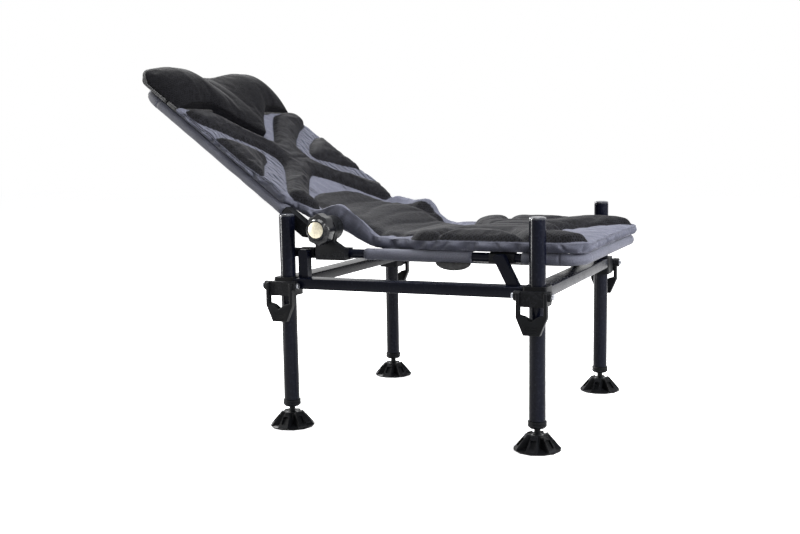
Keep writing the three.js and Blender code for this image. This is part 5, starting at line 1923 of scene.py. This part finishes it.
@dataclass
class Hinges:
    """Moulded brackets, arms, saddles, bolts and locking knobs."""

    make: Maker

    def build(self) -> None:
        """Make both sides."""
        base, back = Body.BASE.value, Body.BACK.value
        for side in ("left", "right"):
            low, high = (np.array(c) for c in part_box(f"knob_disc_{side}"))
            middle = (low + high)[1:] / 2
            disc = SpunDisc(f"spun_disc_{side}", "#cfc8b2", 0.28, tuple(middle.tolist()))
            self.make.dress(
                f"_{side}",
                ("bracket", "hinge_bracket", base, NYLON, "moulding", 1.2),
                ("arm", "back_arm", back, NYLON, "moulding", 1.2),
                ("saddle_front_piece", "saddle_front", base, NYLON, "moulding", 1.2),
                ("saddle_rear_piece", "saddle_rear", base, NYLON, "moulding", 1.2),
                ("pivot_pin", "pivot_bolt", base, ZINC, "bolt_steel", 0.6),
                ("knob_grip", "knob", f"knob_{side}", KNOB_NYLON, "moulding", 1.0),
                ("knob_badge_plate", "knob_disc", f"knob_{side}", disc, "knob_disc", 0.5),
            )


# Cloth that is stretched over the tubes


@dataclass
class Sling:
    """Sheet stretched between two side tubes and round a cross tube, with sleeves sewn round them.

    Plan coordinates are x and a, the length from the free edge towards the cross tube; heights
    are over the tubes' centre lines.
    """

    name: str
    node: str
    body: Body
    make: Maker
    length: float
    to_yz: Callable[[np.ndarray, np.ndarray], tuple[np.ndarray, np.ndarray]]
    sag: Callable[[np.ndarray, np.ndarray], np.ndarray]
    notch: tuple[float, float] | None = None
    seed: int = 3
    tube_x: float = 221.0
    bend: float = 34.0
    sleeve: float = 10.75
    thickness: float = 1.5
    corner_gap: float = 3.0
    wrap: float = math.radians(318)
    hem: float = 9.0
    row: float = 8.0

    def build(self) -> None:
        inner = self.tube_x - self.bend - self.corner_gap
        flat_x = np.linspace(-inner, inner, 47)
        shoulder = np.linspace(inner, self.tube_x, 6)[1:-1]
        turn = np.linspace(0, self.wrap, 25)
        loop_x = self.tube_x + self.sleeve * np.sin(turn)
        loop_h = self.sleeve * np.cos(turn)
        right_x = np.concatenate([shoulder, loop_x])
        right_h = np.concatenate([np.full(len(shoulder), self.sleeve), loop_h])
        x = np.concatenate([-right_x[::-1], flat_x, right_x])
        h = np.concatenate([right_h[::-1], np.full(len(flat_x), self.sleeve), right_h])
        reach = self.length - self.bend - self.corner_gap
        marks = sorted([0.0, self.hem, *(self.notch or ()), reach])
        counts = [max(2, round((q - p) / self.row) + 1) for p, q in zip(marks, marks[1:])]
        spans = [np.linspace(p, q, count)[:-1] for p, q, count in zip(marks, marks[1:], counts)]
        a = np.append(np.concatenate(spans), reach)
        sides, side_faces = self.grid(x, h, a)
        around = np.linspace(0, self.wrap, 25)
        up_to_tube = np.linspace(reach, self.length, 6)[:-1]
        a_end = np.concatenate([up_to_tube, self.length + self.sleeve * np.sin(around)])
        h_end = np.concatenate([np.full(5, self.sleeve), self.sleeve * np.cos(around)])
        xx, aa = np.meshgrid(flat_x, a_end)
        hh = np.broadcast_to(h_end[:, None], xx.shape)
        end = np.stack([xx, aa, self.creased(xx, aa, hh)], -1).reshape(-1, 3)
        end_faces = grid_quads(len(a_end), len(flat_x)) + len(sides)
        plan = np.concatenate([sides, end])
        yz = self.to_yz(plan[:, 1], plan[:, 2])
        points = np.stack([plan[:, 0], *yz], -1)
        faces = np.concatenate([side_faces, end_faces])
        obj = new_object(self.name, self.make.space.metres(points), faces)
        self.add_uv(obj, plan)
        weld(obj, 2e-5)
        for sign in (1, -1):
            self.corner(sign)
        solid = obj.modifiers.new("thickness", "SOLIDIFY")
        solid.thickness = self.thickness / 1000
        solid.offset = self.inward(obj)
        self.make.stand_in(obj, [self.node], self.body.value, OXFORD, "sleeve_cloth")

    def corner(self, sign: int) -> None:
        """Make the sleeve round the tube's bend, between the side and the end of the sheet.

        Args:
            sign: 1 for the side where x is positive, -1 for the other.
        """
        turn = np.linspace(0, math.pi / 2, 13)
        start = self.length - self.bend
        a = start + self.bend * np.sin(turn)
        x = self.tube_x - self.bend + self.bend * np.cos(turn)
        a = np.concatenate([[start - self.corner_gap - 1], a, [self.length]])
        last = self.tube_x - self.bend - self.corner_gap - 1
        x = np.concatenate([[self.tube_x], x, [last]])
        path = np.stack([sign * x, *self.to_yz(a, np.zeros(len(a)))], -1)
        ring = circle((self.sleeve + 0.25) / 1000, 20)
        side = "right" if sign > 0 else "left"
        obj = swept(f"{self.name}_corner_{side}", self.make.space.metres(path), ring)
        self.make.stand_in(obj, [], self.body.value, CORNER, "sleeve_cloth")

    def inward(self, obj: bpy.types.Object) -> float:
        """Find which way the sheet thickens towards the tubes.

        Args:
            obj: The sheet.

        Returns:
            The offset for the thickness, 1 or -1.
        """
        top = max(obj.data.polygons, key=lambda p: p.area)
        foot, tip = (np.array(self.to_yz(np.array([0.0]), np.array([h]))) for h in (0.0, 1.0))
        out = tip - foot
        return -1.0 if top.normal.y * out[0, 0] + top.normal.z * out[1, 0] > 0 else 1.0

    def creased(self, x: np.ndarray, a: np.ndarray, h: np.ndarray) -> np.ndarray:
        """Let the cloth down by its sag and slight ripples.

        Args:
            x: Across, in millimetres.
            a: Along, in millimetres.
            h: Heights over the tubes' centre lines, in millimetres.

        Returns:
            The new heights.
        """
        inside = np.clip(1 - (x / (self.tube_x - 6)) ** 2, 0, 1)
        open_a = 1 - smoothstep(a, self.length - 50, self.length - 12)
        ripple = 0.35 * inside * open_a * (1 + wander(self.seed, 12, 30, 90, x, a))
        sunk = self.sag(x, a) * np.minimum(1, inside * 3) * open_a + ripple + 0.6 * inside
        return h - np.where(h > self.sleeve * 0.99, sunk, 0)

    def grid(self, x: np.ndarray, h: np.ndarray, a: np.ndarray) -> tuple[np.ndarray, np.ndarray]:
        """Grid of the sheet with its side sleeves, less the notches that leave the tubes bare.

        Args:
            x: Across, along the profile.
            h: Heights along the profile.
            a: Lengths of the rows.

        Returns:
            Plan points (n, 3) as (x, a, height) and quads.
        """
        xx, aa = np.meshgrid(x, a)
        hh = np.broadcast_to(h, xx.shape)
        around = 30 * np.arctan2(hh, np.abs(xx) - self.tube_x)
        ripple = 1 + 0.02 * wander(self.seed + 1, 18, 18, 70, aa, around)
        wrapped = (np.abs(xx) > self.tube_x - 0.1) | (hh < 0.99 * self.sleeve)
        centre = np.sign(xx) * self.tube_x
        swell = np.where(wrapped, ripple, 1.0)
        xx = np.where(wrapped, centre + (xx - centre) * swell, xx)
        hh = np.where(wrapped, hh * swell, hh)
        points = np.stack([xx, aa, self.creased(xx, aa, hh)], -1).reshape(-1, 3)
        faces = grid_quads(len(a), len(x))
        if self.notch:
            middle = np.stack([xx, aa, hh], -1).reshape(-1, 3)[faces].mean(1)
            bare = (np.abs(middle[:, 0]) > self.tube_x - 13) | (middle[:, 2] < 0.9 * self.sleeve)
            faces = faces[~(bare & (middle[:, 1] > self.notch[0]) & (middle[:, 1] < self.notch[1]))]
        return points, faces

    def add_uv(self, obj: bpy.types.Object, plan: np.ndarray) -> None:
        """Lay the weave along the sheet, in metres.

        Args:
            obj: The sheet.
            plan: Its vertices as (x, a, height), in millimetres.
        """
        around = np.arctan2(plan[:, 2], np.abs(plan[:, 0]) - self.tube_x) * self.sleeve
        beyond = np.abs(plan[:, 0]) > self.tube_x - 0.1
        u = np.where(beyond, np.sign(plan[:, 0]) * (self.tube_x + 17 - around), plan[:, 0])
        lay_cloth(obj, np.stack([u, plan[:, 1]], -1))


@dataclass
class Headrest(Pad):
    """Two-lobed pillow of air mesh on the top of the back, with a taped edge."""

    quilting: Quilting = Quilting(travel=5.0, slack=0.008)
    half_width: float = 228.5
    foot_line: tuple = ((0.0, 323.0), (52.0, 371.0), (110.0, 412.0), (140.0, 415.0), (229.0, 409.0))
    top_u: float = 526.0
    dip: float = 7.0
    corner: float = 30.0
    start_u: float = 300.0
    back_v: float = -23.3
    edge_height: float = 6.0
    hollow: float = 3.0

    def __post_init__(self) -> None:
        """Draw the base line and the outline."""
        self.line = np.array([from_back(u, self.back_v) for u in (self.start_u, self.top_u + 30)])
        super().__post_init__()
        turn = np.linspace(0, math.pi / 2, 8)
        xs = self.half_width - self.corner + self.corner * np.cos(turn)
        us = self.top_u - self.corner + self.corner * np.sin(turn)
        x_top = np.array([170.0, 140, 110, 80, 50, 25])
        u_top = self.top_u - self.dip * (1 - smoothstep(x_top, 0, self.half_width / 2))
        half = [*self.foot_line[:-1], (self.half_width, self.foot_line[-1][1]), *zip(xs, us)]
        half += [*zip(x_top, u_top), (0.0, self.top_u - self.dip)]
        flat = mirrored(half) - [0, self.start_u]
        self.outline = resampled(flat, self.quilting.seam_step, True)

    def share(self, x: np.ndarray, s: np.ndarray) -> np.ndarray:
        """Share of the way from the pillow's foot to its top.

        Args:
            x: Across, in millimetres.
            s: Along the base line, in millimetres.

        Returns:
            0 at the foot to 1 at the top.
        """
        foot = np.interp(np.abs(x), *zip(*self.foot_line))
        top = self.top_u - self.dip * (1 - smoothstep(np.abs(x), 0, self.half_width / 2))
        return (s + self.start_u - foot) / (top - foot)

    def height(self, x: np.ndarray, s: np.ndarray) -> np.ndarray:
        """Crest across the lobes times a dome up the pillow: sqrt(1 - ((t - 0.54) / 0.6)^2).

        Args:
            x: Across, in millimetres.
            s: Along the base line, in millimetres.

        Returns:
            Heights, in millimetres.
        """
        t = np.clip(self.share(x, s), 0, 1)
        ax = np.abs(x) / self.half_width
        crest = 29 + 20 * smoothstep(ax, 0.06, 0.5)
        along = np.sqrt(np.clip(1 - ((t - 0.54) / 0.6) ** 2, 0, 1))
        across = np.minimum(1, 1.35 * np.sqrt(np.clip(1 - (ax / 1.005) ** 2, 0, 1)))
        hollow = self.hollow * smoothstep(1 - ax, 0.2, 1)
        return self.edge_height + (crest - self.edge_height) * along * across - hollow

    def edge(self, x: np.ndarray, s: np.ndarray) -> tuple[np.ndarray, np.ndarray, np.ndarray]:
        """Wall shape: full at the top and the sides, flat at the foot.

        Args:
            x: Across, in millimetres.
            s: Along the base line, in millimetres.

        Returns:
            Bulge, tuck and wrinkle, in millimetres.
        """
        foot = self.share(x, s) < 0.02
        side = np.abs(x) > self.half_width - 1
        free = np.where(foot & ~side, 0.0, 1.0)
        return 2.0 * free, 2.0 * free, 0.4 * free

    def masks(self, x: np.ndarray, s: np.ndarray) -> dict[str, tuple[np.ndarray, float]]:
        """The whole pillow is air mesh."""
        return {"panel": (np.full(x.shape, 50.0), 50.0)}

    def binding(self) -> bpy.types.Object:
        """Roll tape round the pillow's side and top edges.

        Returns:
            The tape.
        """
        aside = np.abs(self.outline[:, 0]) > self.half_width - 1
        border = self.outline[(self.share(*self.outline.T) > 0.02) | aside]
        order = np.argsort(np.arctan2(border[:, 1] - 140, border[:, 0]))
        border = border[order]
        start = np.argmax(np.diff(np.append(border[:, 0], border[0, 0])) < -200)
        border = np.roll(border, -start - 1, 0)
        middle = border.mean(0)
        away = border - middle
        away /= np.linalg.norm(away, axis=1)[:, None]
        border = border + away * 1.2
        lift = self.height(border[:, 0], border[:, 1]) * 0.82
        path = self.place(border[:, 0], border[:, 1], lift)
        oval = circle(3.1 / 1000, 14) * [1.0, 1.25]
        return swept("headrest_binding", self.space.metres(path), oval)


@dataclass
class Upholstery:
    """Slings, mattress, headrest and their trim."""

    make: Maker
    frames: Frames
    seat_sling_rear: float = 96.0
    notch_front: float = -214.0
    notch_rear: float = -120.0
    back_sling_start: float = 98.0

    def build(self) -> None:
        """Make all the cloth."""
        self.pad = Mattress("quilted_mattress", self.make.space)
        self.slings()
        self.mattress()
        self.headrest()
        self.make.dress("", ("woven_tab", "sleeve_tab", Body.BASE.value, TAPE, "tab_cloth", 0.5))

    def slings(self) -> None:
        """Stretch the two slings."""
        frames, pad = self.frames, self.pad

        def seat(a: np.ndarray, h: np.ndarray) -> tuple[np.ndarray, np.ndarray]:
            """Seat plan to chair Y and Z."""
            return self.seat_sling_rear - a, frames.seat_z + h

        def back(a: np.ndarray, h: np.ndarray) -> tuple[np.ndarray, np.ndarray]:
            """Back plan to chair Y and Z."""
            return from_back(self.back_sling_start + a, frames.back_v + h)

        notch = (self.seat_sling_rear - self.notch_rear, self.seat_sling_rear - self.notch_front)
        seat_length = self.seat_sling_rear - frames.seat_front
        back_length = frames.back_top - self.back_sling_start

        def seat_sag(x: np.ndarray, a: np.ndarray) -> np.ndarray:
            """Sag of the seat's cloth."""
            return pad.sag(x, self.seat_sling_rear - a - pad.seat_front)

        def back_sag(x: np.ndarray, a: np.ndarray) -> np.ndarray:
            """Sag of the back's cloth."""
            return pad.sag(x, pad.back_s + self.back_sling_start + a)

        base, back_body = Body.BASE, Body.BACK
        Sling("seat_sheet", "seat_sling", base, self.make, seat_length, seat, seat_sag, notch).build()
        Sling("back_sheet", "back_sling", back_body, self.make, back_length, back, back_sag, seed=7).build()

    def mattress(self) -> None:
        """Quilt the mattress and cord its lower edge."""
        pad = self.pad
        obj = pad.build()
        smooth(obj)
        coat(obj, QUILT)
        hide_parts("seat_cushion", "cushion_fold", "back_cushion")
        low = self.make.space.metres(np.array([0, pad.seat_rear, pad.base_z]))
        high = self.make.space.metres(np.array([0, *from_back(pad.back_start, pad.back_v)]))
        cord = coat(pad.piping(), CORD)
        for piece in (obj, cord):
            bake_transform(piece)
            log.info("%s: bends from %s to %s", piece.name, Body.BASE.value, Body.BACK.value)

    def headrest(self) -> None:
        """Stuff the headrest and tape its edge."""
        pillow = Headrest("headrest_pillow", self.make.space)
        obj = pillow.build()
        smooth(obj)
        # The pillow's mesh is drawn darker than the cushion's, as painted shade.
        self.make.stand_in(obj, ["headrest"], Body.BACK.value, MESH, "mesh_cloth")
        self.make.stand_in(pillow.binding(), [], Body.BACK.value, TAPE, "tab_cloth")


def smooth(obj: bpy.types.Object) -> None:
    """Add one level of subdivision.

    Args:
        obj: The object.
    """
    divide = obj.modifiers.new("smooth", "SUBSURF")
    divide.levels = 1
    divide.render_levels = 1


def main() -> None:
    """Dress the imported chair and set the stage."""
    logging.basicConfig(level=logging.INFO, format="%(name)s: %(message)s")
    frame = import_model()
    measures = Measures()
    measures.start()
    front, rear = (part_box(f"leg_tube_{end}_left") for end in ("front", "rear"))
    space = Space((front[0][1] + rear[1][1]) / 2)
    make = Maker(frame["nodes"], space)
    Stage(space).build()
    Corners(make).build()
    frames = Frames(make)
    frames.build()
    Hinges(make).build()
    Upholstery(make, frames).build()
    measures.write()


if __name__ == "__main__":
    main()
